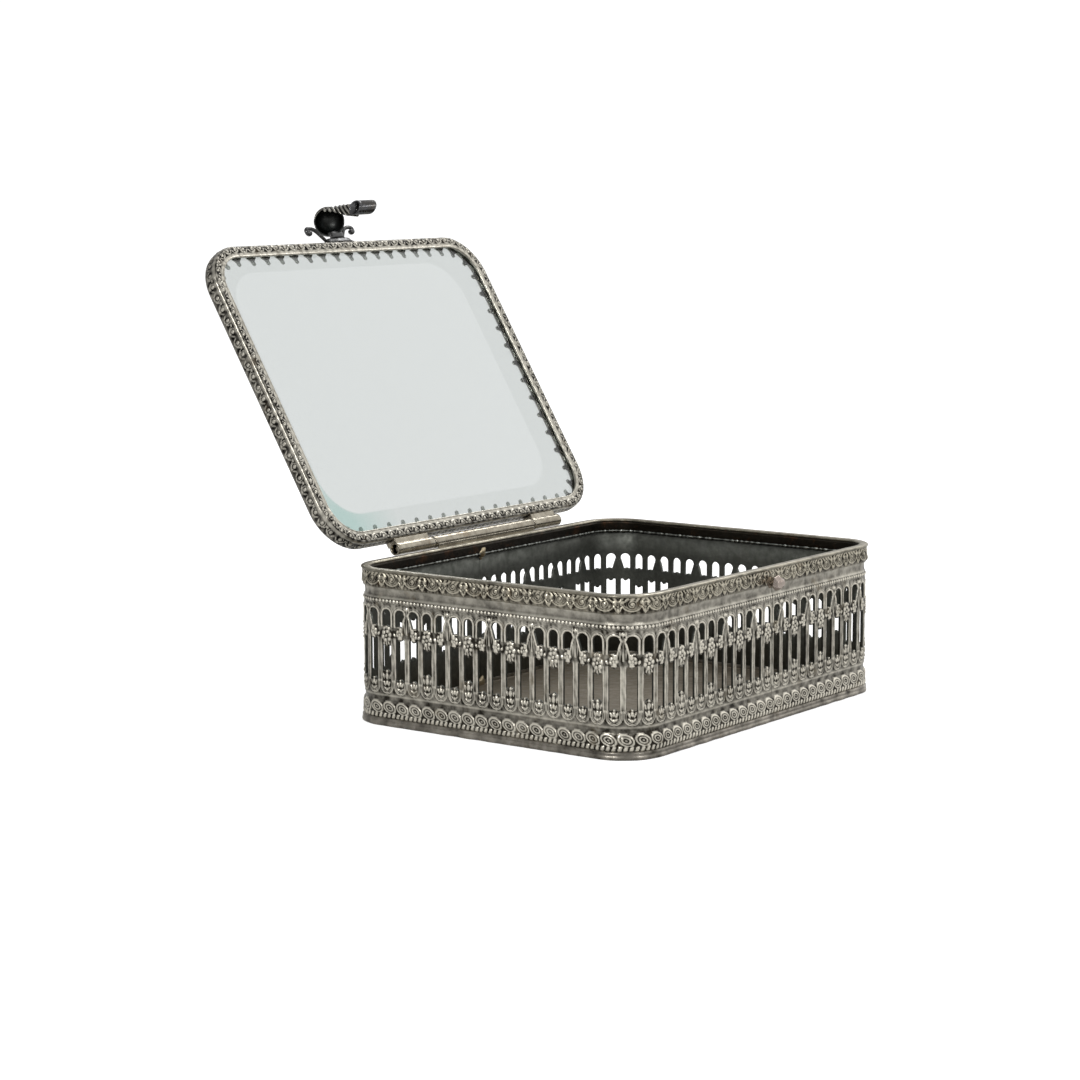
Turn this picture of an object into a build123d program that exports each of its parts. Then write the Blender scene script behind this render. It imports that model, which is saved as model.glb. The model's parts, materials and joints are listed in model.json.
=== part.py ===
"""Vanity trinket box: pierced metal gallery, bevelled glass lid on a long rolled hinge, spring clasp.

Frame: millimetres, +Z up, origin at the middle of the underside. X runs along the hinge,
the front with its catch stud faces -Y and the hinge runs along the back. The lid stands open.
"""
from build123d import *
from math import cos, pi, radians, sin
import os

# Box
BOX_WIDTH = 130.0          # over the wall, along the hinge
BOX_DEPTH = 100.0          # over the wall, front to back
BOX_HEIGHT = 45.0          # underside to the top of the rim
CORNER_R = 12.0            # upright corners of the wall, outside
WALL = 0.8                 # gallery sheet
FLOOR = 0.8                # floor sheet
BASE_BAND_HEIGHT = 2.4
BASE_BAND_OUT = 1.0        # how far the base band stands out from the wall
MOULDING_TOP = 6.8         # top of the egg moulding stamped in the gallery's foot
MOULDING_OUT = 0.6
RIM_BOTTOM = 39.7          # lower edge of the rim's frieze
RIM_OUT = 0.9              # how far the rim stands out from the wall
RIM_IN = 1.9               # how far its rolled top reaches inside the wall's outer face
RIM_TOP_THICK = 0.8
LINER_BOTTOM = 41.3        # lower edge of the strip soldered inside under the rim

# Pierced pattern, repeated all round the gallery
UNITS = 30
UNIT_SHIFT = -1.3          # first unit's middle, from the middle of the front towards -X
ARCH_BOTTOM = 28.9
ARCH_TOP = 33.7
MID_ARCH_WIDTH = 2.9
SIDE_ARCH_NEAR = 3.25      # upright side of a side arch, from the unit's middle
SIDE_ARCH_TOP_FAR = 6.5    # its slanting side, at the top and at the bottom
SIDE_ARCH_FOOT_FAR = 5.4
SLOT_WIDTH = 3.1
LONG_SLOT = (13.5, 25.3)   # bottom and top
SHORT_SLOT = (16.0, 23.3)

# Catch stud on the front
STUD_X = 1.5
STUD_Z = 40.7
STUD_LENGTH = 4.2
STUD_BASE = 3.6
STUD_WAIST = 4.8
STUD_TIP = 2.0
STUD_SWELL = 0.6           # its widest place, as a share of its length

# Hinge: one knuckle of the box between two of the lid, on one pin
HINGE_BACK = 3.0           # axis behind the wall's outer face
HINGE_UP = 1.35            # axis above the rim
KNUCKLE_R = 1.9
PIN_R = 0.80
BORE_R = 0.86
KNUCKLE_ENDS = (-39.8, -22.5, 26.8, 40.8)
KNUCKLE_GAP = 0.2
PIN_RECESS = 1.5           # the pin's ends sit inside the end knuckles
BOX_LEAF_DEPTH = 5.8       # the box leaf's reach down the rim
BOX_LEAF_TOP = 0.4         # the leaf starts this far below the axis
LEAF_THICK = 0.6
TAB_INSET = 1.0            # leaf and tabs end this far short of their tube's ends
LID_TAB_FRONT = 1.2        # the lid tabs' far side, in front of the axis
LID_TAB_HEIGHT = 4.0
LID_TAB_UP = 0.2           # their lower edge, above the lid's underside

# Lid, measured from the hinge axis as if it were shut
OPEN_ANGLE = 121.3         # from shut to standing open
LID_WIDTH = 128.0
LID_DEPTH = 99.6
LID_CORNER_R = 14.0
LID_THICK = 5.4
LID_UNDER = 1.1            # underside below the hinge axis
LID_FRONT_OF_AXIS = 3.0    # back edge in front of the hinge axis
FRAME_WALL = 2.0
FRAME_FACE = 4.0           # width of the frame's underside face
FRAME_FACE_THICK = 1.2
GLASS_GAP = 0.1
GLASS_EDGE = 1.4           # thickness at the rim of the bevel
GLASS_THICK = 3.0
BEVEL_WIDTH = 13.0
BEZEL_RING = 1.0
BEZEL_THICK = 0.4
BEZEL_HEIGHT = 3.4         # above the lid's underside
PRONGS = 64
PRONG_LENGTH = 4.0
PRONG_WIDTH = 3.4

# Clasp on the lid's front edge: places are along X from its middle, out from the edge, up from the underside
CLASP_X = STUD_X
FOOT_HALF = 8.7
FOOT_HEIGHT = 3.8
FOOT_THICK = 0.6
FLEX_OUT = 1.6             # flex line
FLEX_UP = 2.7
FLEX_R = 0.6
FLEX_CLEAR = 0.05
FLEX_HALF = 4.0            # half length of the flex line on the foot
NECK_HALF = 3.0            # and of the shell's neck that wraps it
NECK_THICK = 1.0
SHELL_OUT = 8.4            # middle of the round shell
SHELL_UP = 3.0
SHELL_R = 4.8
SHELL_THICK = 0.6
SHELL_TURN = 45.0          # its hollow is turned this far towards -X
BAND_START = (0, 12.8, 3.4)
BAND_MIDDLE = (-0.1, 9.3, -3.0)
BAND_END = (-0.4, 5.9, -8.4)
BAND_HALF = (1.2, 1.9)     # half width at its start and at its end
BAND_THICK = 0.9
BAND_TWIST = 90.0
BAND_SECTIONS = 7
ROLL_MIDDLE = (0, 5.1, -11.2)
ROLL_AXIS = (0.845, -0.248, -0.477)
ROLL_R = 2.6
ROLL_BORE = 2.1
ROLL_HALF = 2.8
SCROLL_UP = 4.4
SCROLL_ARM = ((1.8, 1.0), (4.0, 4.0), (7.2, 6.3), (10.0, 6.9))
SCROLL_CURL = 1.2          # how far the curl goes beyond the arm's end
SCROLL_WIDTH = 1.0
SCROLL_THICK = 1.2

# Worked out from the above
HINGE_Y = BOX_DEPTH / 2 + HINGE_BACK
HINGE_Z = BOX_HEIGHT + HINGE_UP
PERIMETER = 2 * (BOX_WIDTH + BOX_DEPTH) - 8 * CORNER_R + 2 * pi * CORNER_R
UNIT = PERIMETER / UNITS
SEAM_X = -UNIT_SHIFT + UNIT / 6
LID_FRONT = -LID_FRONT_OF_AXIS - LID_DEPTH
LID_MIDDLE = -LID_FRONT_OF_AXIS - LID_DEPTH / 2
OPEN = radians(OPEN_ANGLE)
LID = Plane(origin=(0, HINGE_Y, HINGE_Z), x_dir=(1, 0, 0), z_dir=(0, sin(OPEN), cos(OPEN)))
LID_BASE = Plane(LID.from_local_coords((0, LID_MIDDLE, -LID_UNDER)), x_dir=LID.x_dir, z_dir=LID.z_dir)


def walk_outline(width, depth, radius, distance):
    """Point and heading (degrees) on a rounded rectangle, walked from its front middle towards -X."""
    point = Vector(0, -depth / 2)
    heading = 180.0
    side_x = width - 2 * radius
    side_y = depth - 2 * radius
    left = distance % (2 * (side_x + side_y) + 2 * pi * radius)
    for straight in (side_x / 2, side_y, side_x, side_y, side_x / 2):
        step = min(left, straight)
        point += Vector(step, 0).rotate(Axis.Z, heading)
        left -= step
        if left <= 0:
            break
        turn = min(left / radius, pi / 2)
        centre = point + Vector(0, -radius).rotate(Axis.Z, heading)
        heading -= turn * 180 / pi
        point = centre + Vector(0, radius).rotate(Axis.Z, heading)
        left -= turn * radius
        if left <= 0:
            break
    return point, heading


def ring(plane, width, depth, radius, outset, inset, bottom, top):
    """Upright band that follows a rounded rectangle, from inset inside it to outset outside it."""
    with BuildSketch(plane.offset(bottom)) as outline:
        RectangleRounded(width + 2 * outset, depth + 2 * outset, radius + outset)
        RectangleRounded(width - 2 * inset, depth - 2 * inset, radius - inset, mode=Mode.SUBTRACT)
    extrude(outline.sketch, amount=top - bottom)


def box_ring(outset, inset, bottom, top):
    """Band round the box wall."""
    ring(Plane.XY, BOX_WIDTH, BOX_DEPTH, CORNER_R, outset, inset, bottom, top)


def lid_ring(outset, inset, bottom, top):
    """Band round the lid, with heights above the lid's underside."""
    ring(LID_BASE, LID_WIDTH, LID_DEPTH, LID_CORNER_R, outset, inset, bottom, top)


def clasp_point(along, out, up):
    """Point of the clasp, from the middle of its foot on the lid's front edge."""
    return LID.from_local_coords((CLASP_X + along, LID_FRONT - out, up - LID_UNDER))


def clasp_direction(along, out, up):
    """Direction given in the same way."""
    return LID.x_dir * along - LID.y_dir * out + LID.z_dir * up


def clasp_side():
    """Plane square to X through the clasp; local x runs out from the lid's front edge, local y up."""
    return Plane(clasp_point(0, 0, 0), x_dir=-LID.y_dir, z_dir=-LID.x_dir)


def round_outer_edges(part, axis, radius):
    """Round the outside edges of a band's lowest and highest faces."""
    for face in (part.faces().sort_by(axis)[0], part.faces().sort_by(axis)[-1]):
        fillet(face.outer_wire().edges(), radius)


def piercings():
    """The six openings of one unit, drawn in the open sketch, x along the wall and y up."""
    radius = MID_ARCH_WIDTH / 2
    spring = ARCH_TOP - radius
    with BuildLine() as mid_arch:
        Line((-radius, ARCH_BOTTOM), (radius, ARCH_BOTTOM))
        Line((radius, ARCH_BOTTOM), (radius, spring))
        ThreePointArc((radius, spring), (0, ARCH_TOP), (-radius, spring))
        Line((-radius, spring), (-radius, ARCH_BOTTOM))
    make_face(mid_arch.edges())
    for side in (-1, 1):
        near = side * SIDE_ARCH_NEAR
        far = side * SIDE_ARCH_TOP_FAR
        with BuildLine() as side_arch:
            Line((near, ARCH_BOTTOM), (side * SIDE_ARCH_FOOT_FAR, ARCH_BOTTOM))
            Line((side * SIDE_ARCH_FOOT_FAR, ARCH_BOTTOM), (far, spring))
            ThreePointArc((far, spring), ((near + far) / 2, ARCH_TOP), (near, spring))
            Line((near, spring), (near, ARCH_BOTTOM))
        make_face(side_arch.edges())
        with Locations((side * UNIT / 3, sum(LONG_SLOT) / 2)):
            Rectangle(SLOT_WIDTH, LONG_SLOT[1] - LONG_SLOT[0])
    with Locations((0, sum(SHORT_SLOT) / 2)):
        Rectangle(SLOT_WIDTH, SHORT_SLOT[1] - SHORT_SLOT[0])


def gallery_half(first_unit, keep):
    """One of the two pierced strips, bent to a U, that meet at the front and back seams."""
    seam = Plane(origin=(0, 0, 0), z_dir=Vector(BOX_DEPTH, 2 * SEAM_X, 0))
    box_ring(0, WALL, FLOOR, BOX_HEIGHT - RIM_TOP_THICK)
    box_ring(MOULDING_OUT, 0, BASE_BAND_HEIGHT, MOULDING_TOP)
    split(bisect_by=seam, keep=keep)
    for unit in range(first_unit, first_unit + UNITS // 2):
        point, heading = walk_outline(BOX_WIDTH, BOX_DEPTH, CORNER_R, UNIT_SHIFT + unit * UNIT)
        outward = Vector(0, 1).rotate(Axis.Z, heading)
        with BuildSketch(Plane(point, x_dir=Vector(0, 0, 1).cross(outward), z_dir=outward)) as openings:
            piercings()
        extrude(openings.sketch, amount=2 * WALL, both=True, mode=Mode.SUBTRACT)


def hinge_section(x, plane):
    """Plane square to the hinge axis at x, turned with the given part."""
    return Plane((x, HINGE_Y, HINGE_Z), x_dir=plane.y_dir, z_dir=plane.x_dir)


def rolled_knuckle(first, last, plane, tab_middle, tab_size):
    """Tube round the hinge axis with the tab that is soldered to the lid or to the box."""
    with BuildSketch(hinge_section(first, plane)) as tube:
        Circle(KNUCKLE_R)
    extrude(tube.sketch, amount=last - first)
    with BuildSketch(hinge_section(first + TAB_INSET, plane)) as tab:
        with Locations(tab_middle):
            Rectangle(*tab_size)
    extrude(tab.sketch, amount=last - first - 2 * TAB_INSET)
    with BuildSketch(hinge_section(first, plane)) as bore:
        Circle(BORE_R)
    extrude(bore.sketch, amount=last - first, mode=Mode.SUBTRACT)


def lid_knuckle(first, last):
    """One of the lid's two knuckles; its tab lies on the back of the frame."""
    middle = (-(LID_FRONT_OF_AXIS + LID_TAB_FRONT) / 2, LID_TAB_HEIGHT / 2 - LID_UNDER + LID_TAB_UP)
    rolled_knuckle(first, last, LID, middle, (LID_FRONT_OF_AXIS - LID_TAB_FRONT, LID_TAB_HEIGHT))


# Box pieces

with BuildPart() as floor_plate:
    with BuildSketch():
        RectangleRounded(BOX_WIDTH, BOX_DEPTH, CORNER_R)
    extrude(amount=FLOOR)

with BuildPart() as base_band:
    box_ring(BASE_BAND_OUT, 0, 0, BASE_BAND_HEIGHT)
    round_outer_edges(base_band, Axis.Z, 0.4)

with BuildPart() as gallery_left:
    gallery_half(0, Keep.BOTTOM)

with BuildPart() as gallery_right:
    gallery_half(UNITS // 2, Keep.TOP)

with BuildPart() as rim_moulding:
    box_ring(RIM_OUT, 0, RIM_BOTTOM, BOX_HEIGHT)
    box_ring(0, RIM_IN, BOX_HEIGHT - RIM_TOP_THICK, BOX_HEIGHT)
    round_outer_edges(rim_moulding, Axis.Z, 0.4)

with BuildPart() as rim_liner:
    box_ring(-WALL, RIM_IN, LINER_BOTTOM, BOX_HEIGHT - RIM_TOP_THICK)

with BuildPart() as catch_stud:
    stud_root = Plane((STUD_X, -BOX_DEPTH / 2 - RIM_OUT, STUD_Z), x_dir=(1, 0, 0), z_dir=(0, -1, 0))
    for start, end, first_side, last_side in (
        (0, STUD_LENGTH * STUD_SWELL, STUD_BASE, STUD_WAIST),
        (STUD_LENGTH * STUD_SWELL, STUD_LENGTH, STUD_WAIST, STUD_TIP),
    ):
        for height, side in ((start, first_side), (end, last_side)):
            with BuildSketch(stud_root.offset(height)):
                RegularPolygon(side / 2, 8)
        loft()

with BuildPart() as hinge_knuckle_centre:
    leaf_front = HINGE_BACK - RIM_OUT
    rolled_knuckle(
        KNUCKLE_ENDS[1] + KNUCKLE_GAP / 2,
        KNUCKLE_ENDS[2] - KNUCKLE_GAP / 2,
        Plane.XY,
        (LEAF_THICK / 2 - leaf_front, -BOX_LEAF_DEPTH / 2 - BOX_LEAF_TOP),
        (LEAF_THICK, BOX_LEAF_DEPTH),
    )

with BuildPart() as hinge_pin:
    pin_start = KNUCKLE_ENDS[0] + PIN_RECESS
    with BuildSketch(hinge_section(pin_start, Plane.XY)):
        Circle(PIN_R)
    extrude(amount=KNUCKLE_ENDS[3] - PIN_RECESS - pin_start)

# Lid pieces, standing open

with BuildPart() as hinge_knuckle_left:
    lid_knuckle(KNUCKLE_ENDS[0], KNUCKLE_ENDS[1] - KNUCKLE_GAP / 2)

with BuildPart() as hinge_knuckle_right:
    lid_knuckle(KNUCKLE_ENDS[2] + KNUCKLE_GAP / 2, KNUCKLE_ENDS[3])

with BuildPart() as lid_frame:
    lid_ring(0, FRAME_WALL, 0, LID_THICK)
    lid_ring(-FRAME_WALL, FRAME_FACE, 0, FRAME_FACE_THICK)
    round_outer_edges(lid_frame, Axis(LID.origin, LID.z_dir), 0.8)

with BuildPart() as lid_glass:
    glass_inset = FRAME_WALL + GLASS_GAP
    glass_back = LID_BASE.offset(FRAME_FACE_THICK + GLASS_GAP / 2)
    with BuildSketch(glass_back):
        RectangleRounded(LID_WIDTH - 2 * glass_inset, LID_DEPTH - 2 * glass_inset, LID_CORNER_R - glass_inset)
    extrude(amount=GLASS_EDGE)
    for height, inset in ((GLASS_EDGE, glass_inset), (GLASS_THICK, glass_inset + BEVEL_WIDTH)):
        with BuildSketch(glass_back.offset(height)):
            RectangleRounded(LID_WIDTH - 2 * inset, LID_DEPTH - 2 * inset, LID_CORNER_R - glass_inset)
    loft()

with BuildPart() as prong_bezel:
    prong_root = FRAME_WALL + BEZEL_RING
    lid_ring(-FRAME_WALL, prong_root, BEZEL_HEIGHT, BEZEL_HEIGHT + BEZEL_THICK)
    ring_width = LID_WIDTH - 2 * prong_root
    ring_depth = LID_DEPTH - 2 * prong_root
    ring_radius = LID_CORNER_R - prong_root
    ring_length = 2 * (ring_width + ring_depth) - 8 * ring_radius + 2 * pi * ring_radius
    with BuildSketch(LID_BASE.offset(BEZEL_HEIGHT)):
        for prong in range(PRONGS):
            distance = (prong + 0.5) * ring_length / PRONGS
            point, heading = walk_outline(ring_width, ring_depth, ring_radius, distance)
            with Locations(Location((point.X, point.Y, 0), (0, 0, heading + 180))):
                Polygon(
                    (-PRONG_WIDTH / 2, -0.3),
                    (PRONG_WIDTH / 2, -0.3),
                    (PRONG_WIDTH / 5, PRONG_LENGTH / 3),
                    (PRONG_WIDTH / 2, PRONG_LENGTH * 0.6),
                    (0, PRONG_LENGTH),
                    (-PRONG_WIDTH / 2, PRONG_LENGTH * 0.6),
                    (-PRONG_WIDTH / 5, PRONG_LENGTH / 3),
                    align=None,
                )
    extrude(amount=BEZEL_THICK)

with BuildPart() as clasp_foot:
    with BuildSketch(clasp_side()):
        with Locations((FOOT_THICK / 2, LID_THICK / 2)):
            Rectangle(FOOT_THICK, FOOT_HEIGHT)
    extrude(amount=FOOT_HALF, both=True)
    with BuildSketch(clasp_side()):
        with Locations((FLEX_OUT / 2, FLEX_UP)):
            Rectangle(FLEX_OUT, 2 * FLEX_R)
        with Locations((FLEX_OUT, FLEX_UP)):
            Circle(FLEX_R)
    extrude(amount=FLEX_HALF, both=True)

with BuildPart() as clasp_scrolls:
    scroll_plane = Plane(clasp_point(0, 0, SCROLL_UP), x_dir=-LID.x_dir, z_dir=LID.z_dir)
    for side in (-1, 1):
        with BuildSketch(scroll_plane):
            with BuildLine() as arm:
                along, out = SCROLL_ARM[-1]
                Spline(*((side * x, y) for x, y in SCROLL_ARM))
                ThreePointArc(
                    (side * along, out),
                    (side * (along + SCROLL_CURL), out - SCROLL_CURL * 0.7),
                    (side * along, out - SCROLL_CURL * 1.5),
                )
            trace(line_width=SCROLL_WIDTH)
    extrude(amount=SCROLL_THICK / 2, both=True)

with BuildPart() as clasp_shell:
    shell_plane = Plane(clasp_point(0, SHELL_OUT, SHELL_UP), x_dir=LID.x_dir, z_dir=LID.z_dir)
    shell_plane = shell_plane.rotated((0, SHELL_TURN, 0))
    with Locations(shell_plane.location):
        Sphere(SHELL_R)
        Sphere(SHELL_R - SHELL_THICK, mode=Mode.SUBTRACT)
    split(bisect_by=shell_plane, keep=Keep.TOP)
    band_path = ThreePointArc(*(clasp_point(*place) for place in (BAND_START, BAND_MIDDLE, BAND_END)))
    for section in range(BAND_SECTIONS):
        share = section / (BAND_SECTIONS - 1)
        ahead = band_path % share
        across = LID.x_dir.rotate(Axis((0, 0, 0), ahead), share * BAND_TWIST)
        half = BAND_HALF[0] + share * (BAND_HALF[1] - BAND_HALF[0])
        with BuildSketch(Plane(band_path @ share, x_dir=across, z_dir=ahead)):
            Rectangle(2 * half, BAND_THICK)
    loft(ruled=True)
    with BuildSketch(clasp_side()):
        neck_end = SHELL_OUT - SHELL_R + SHELL_THICK
        with Locations(((FLEX_OUT + neck_end) / 2, FLEX_UP)):
            Rectangle(neck_end - FLEX_OUT, NECK_THICK)
        with Locations((FLEX_OUT, FLEX_UP)):
            Circle(FLEX_R + FLEX_CLEAR, mode=Mode.SUBTRACT)
    extrude(amount=NECK_HALF, both=True)
    roll_plane = Plane(clasp_point(*ROLL_MIDDLE), z_dir=clasp_direction(*ROLL_AXIS))
    with BuildSketch(roll_plane):
        Circle(ROLL_R)
    extrude(amount=ROLL_HALF, both=True, mode=Mode.SUBTRACT)

with BuildPart() as clasp_roll:
    with BuildSketch(roll_plane):
        Circle(ROLL_R)
        Circle(ROLL_BORE, mode=Mode.SUBTRACT)
    extrude(amount=ROLL_HALF, both=True)

PIECES = {
    "floor_plate": floor_plate,
    "base_band": base_band,
    "gallery_left": gallery_left,
    "gallery_right": gallery_right,
    "rim_moulding": rim_moulding,
    "rim_liner": rim_liner,
    "catch_stud": catch_stud,
    "hinge_knuckle_centre": hinge_knuckle_centre,
    "hinge_pin": hinge_pin,
    "hinge_knuckle_left": hinge_knuckle_left,
    "hinge_knuckle_right": hinge_knuckle_right,
    "lid_frame": lid_frame,
    "lid_glass": lid_glass,
    "prong_bezel": prong_bezel,
    "clasp_foot": clasp_foot,
    "clasp_scrolls": clasp_scrolls,
    "clasp_shell": clasp_shell,
    "clasp_roll": clasp_roll,
}

os.makedirs("parts", exist_ok=True)
for name, piece in PIECES.items():
    piece.part.label = name
    export_step(piece.part, f"parts/{name}.step")
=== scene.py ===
"""Looks of the vanity trinket box: embossed and pierced antique silver, bevelled glass lid, dark clasp."""
import json
from math import cos, pi, radians, sin

import bpy
import numpy as np
from mathutils import Matrix, Vector


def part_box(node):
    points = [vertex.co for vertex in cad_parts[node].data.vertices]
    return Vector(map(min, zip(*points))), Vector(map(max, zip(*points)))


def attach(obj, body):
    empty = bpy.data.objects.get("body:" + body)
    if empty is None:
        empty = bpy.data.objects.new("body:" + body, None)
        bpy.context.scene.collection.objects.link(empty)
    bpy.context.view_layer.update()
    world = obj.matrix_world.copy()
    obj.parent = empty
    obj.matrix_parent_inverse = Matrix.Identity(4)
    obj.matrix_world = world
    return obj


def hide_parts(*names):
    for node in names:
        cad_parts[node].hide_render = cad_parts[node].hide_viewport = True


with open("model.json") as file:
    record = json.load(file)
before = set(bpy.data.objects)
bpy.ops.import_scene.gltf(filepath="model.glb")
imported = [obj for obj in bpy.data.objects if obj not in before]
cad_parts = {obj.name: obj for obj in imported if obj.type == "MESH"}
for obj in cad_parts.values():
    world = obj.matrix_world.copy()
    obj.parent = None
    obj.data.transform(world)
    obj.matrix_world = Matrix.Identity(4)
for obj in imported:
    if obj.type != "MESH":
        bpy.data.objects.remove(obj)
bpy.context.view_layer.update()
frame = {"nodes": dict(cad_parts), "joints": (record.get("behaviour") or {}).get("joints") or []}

MM = 0.001

# Sizes in millimetres. Those of the box come from the frame; most others repeat the design's.
wall_low, wall_high = (np.array(corner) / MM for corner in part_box("floor_plate"))
rim_low, rim_high = (np.array(corner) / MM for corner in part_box("rim_moulding"))
WALL_SIZE = (wall_high[0] - wall_low[0], wall_high[1] - wall_low[1])
WALL_RADIUS = 12.0
RIM_OUT = rim_high[0] - wall_high[0]
RIM_BOTTOM = rim_low[2]
FLOOR_TOP = 0.8
SHEET = 0.6
UNITS = 30
UNIT_SHIFT = -1.3
PERIMETER = 2 * sum(WALL_SIZE) - 8 * WALL_RADIUS + 2 * pi * WALL_RADIUS
UNIT = PERIMETER / UNITS
SLOT_PITCH = UNIT / 3
LONG_SLOT = (13.5, 25.3)
SHORT_SLOT = (16.0, 23.3)
SLOT_HALF = 1.55
ARCH = (28.9, 33.7)
ARCH_HALF = 1.45
SIDE_ARCH_NEAR = 3.25
SIDE_ARCH_TOP = 6.5
SIDE_ARCH_FOOT = 5.4
STUD_AT = (1.5, 40.7)

LID_SIZE = (128.0, 99.6)
LID_RADIUS = 14.0
LID_UNDER = 1.1
LID_BACK = 3.0
FRAME_WALL = 2.0
GLASS_INSET = 2.1
GLASS_LOW = 1.25
GLASS_EDGE = 1.7
GLASS_THICK = 2.1
BEVEL = (9.0, 7.6)           # mean width of the glass bevel along x and across it
FLAT_SHIFT = (-4.0, -0.9)    # the flat inside the bevel is cut off centre
PRONGS = 64
PRONG_AT = 3.4
LID_FRONT = -LID_BACK - LID_SIZE[1]
KNUCKLE_R = 1.9
KNUCKLE_BORE = 1.4
KNUCKLE_ENDS = (-39.8, -22.5, 26.8, 40.8)

CLASP_X = STUD_AT[0]
SHELL_AT = (0.0, 8.4, 3.0)
SHELL_R = 4.8
SHELL_TURN = radians(45.0)
BAND_PATH = ((0.0, 12.7, 3.2), (-0.1, 10.8, -0.6), (-0.1, 9.3, -3.0), (-0.1, 7.3, -6.0), (0.4, 5.6, -8.8))
BAND_HALF = (1.3, 2.1)
ROLL_AT = (0.0, 5.1, -11.2)
ROLL_AXIS = (0.845, -0.248, -0.477)
ROLL_R = 2.6
ROLL_HALF = 2.8

lid_joint = next(j for j in frame["joints"] if j["name"] == "lid_hinge")
HINGE = np.array(lid_joint["pos_m"]) / MM
OPEN = radians(lid_joint["range_deg"][1])
LID_AXES = np.array([(1, 0, 0), (0, cos(OPEN), -sin(OPEN)), (0, sin(OPEN), cos(OPEN))])


# ---------------------------------------------------------------- shapes

def outline(size, radius, s):
    """Points and outward normals on a rounded rectangle, s mm from its front middle towards -X."""
    side_x, side_y = size[0] - 2 * radius, size[1] - 2 * radius
    corner = radius * pi / 2
    total = 2 * (side_x + side_y) + 4 * corner
    s = np.asarray(s, float) % total
    x, y, angle = np.zeros_like(s), np.zeros_like(s), np.zeros_like(s)
    start = 0.0
    point, heading = np.array([0.0, -size[1] / 2]), pi
    for straight in (side_x / 2, side_y, side_x, side_y, side_x / 2):
        ahead = np.array([cos(heading), sin(heading)])
        here = (s >= start) & (s <= start + straight + 1e-9)
        x[here] = point[0] + ahead[0] * (s[here] - start)
        y[here] = point[1] + ahead[1] * (s[here] - start)
        angle[here] = heading + pi / 2
        start += straight
        point = point + ahead * straight
        centre = point + radius * np.array([sin(heading), -cos(heading)])
        here = (s > start) & (s <= start + corner)
        turned = heading + pi / 2 - (s[here] - start) / radius
        x[here] = centre[0] + radius * np.cos(turned)
        y[here] = centre[1] + radius * np.sin(turned)
        angle[here] = turned
        start += corner
        heading -= pi / 2
        point = centre + radius * np.array([-sin(heading), cos(heading)])
    return x, y, np.cos(angle), np.sin(angle)


def on_wall(s, out, z):
    """Points at distance out from the box wall's outer face."""
    x, y, nx, ny = outline(WALL_SIZE, WALL_RADIUS, s)
    return np.stack([x + nx * out, y + ny * out, z + 0 * x], -1)


def on_lid(s, inset, up):
    """Points inset from the lid's outline and up from its underside, in the open lid."""
    x, y, nx, ny = outline(LID_SIZE, LID_RADIUS, s)
    middle = -LID_BACK - LID_SIZE[1] / 2
    return open_lid(np.stack([x - nx * inset, y - ny * inset + middle, up - LID_UNDER + 0 * x], -1))


def open_lid(local):
    """Turn points given from the hinge axis on the shut lid to the open lid."""
    return HINGE * (0, 1, 1) + np.asarray(local, float) @ LID_AXES


def clasp_point(x, out, up):
    """Points of the clasp: along X from its middle, out from the lid's front edge, up from its underside."""
    x, out, up = np.broadcast_arrays(*(np.asarray(v, float) for v in (x, out, up)))
    return open_lid(np.stack([x + CLASP_X, LID_FRONT - out, up - LID_UNDER], -1))


def add_mesh(name, points, faces, relief=None, smooth=True):
    """Mesh object from points in millimetres."""
    mesh = bpy.data.meshes.new(name)
    mesh.from_pydata((np.asarray(points).reshape(-1, 3) * MM).tolist(), [], faces)
    if relief is not None:
        attribute = mesh.attributes.new("relief", "FLOAT", "POINT")
        attribute.data.foreach_set("value", np.ravel(relief).astype(np.float32))
    mesh.validate()
    if smooth:
        mesh.shade_smooth()
    else:
        mesh.shade_flat()
    piece = bpy.data.objects.new(name, mesh)
    bpy.context.scene.collection.objects.link(piece)
    return piece


def grid_faces(rows, columns, loop_rows=False, loop_columns=False):
    """Quads of a grid whose point (i, j) is number i * columns + j."""
    steps = np.arange(rows - (not loop_rows)), np.arange(columns - (not loop_columns))
    i, j = np.meshgrid(*steps, indexing="ij")
    i2, j2 = (i + 1) % rows, (j + 1) % columns
    quads = np.stack([i * columns + j, i2 * columns + j, i2 * columns + j2, i * columns + j2], -1)
    return quads.reshape(-1, 4).tolist()


def end_caps(rows, columns, flip=False):
    """Faces that close the first and the last ring of a grid."""
    first, last = list(range(columns)), [rows * columns - 1 - k for k in range(columns)]
    return [first[::-1], last[::-1]] if flip else [first, last]


def add_loop_band(name, place, total, step, profile, relief=None, painted_highlight=0.0):
    """Closed band round an outline. profile is (out, up) pairs in a loop, which relief(s, profile) lifts;
    painted_highlight is added to the relief attribute as a painted highlight that brightens the colour.
    """
    count = int(total / step)
    s = np.linspace(0, total, count, endpoint=False)[:, None]
    profile = np.asarray(profile, float)
    lift = np.zeros((count, len(profile))) if relief is None else relief(s, profile)
    normal = profile_normals(profile)
    out = profile[None, :, 0] + lift * normal[None, :, 0]
    up = profile[None, :, 1] + lift * normal[None, :, 1]
    points = place(s + 0 * out, out, up)
    faces = grid_faces(count, len(profile), True, True)
    return add_mesh(name, points, faces, standing_out(lift) + painted_highlight)


def standing_out(lift):
    """How far each point of a grid stands out from the points round it."""
    along = sum(np.roll(lift, k, 0) for k in range(-5, 6)) / 11
    across = np.pad(along, ((0, 0), (3, 3)), mode="edge")
    across = sum(across[:, k:k + lift.shape[1]] for k in range(7)) / 7
    return lift - across


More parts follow.
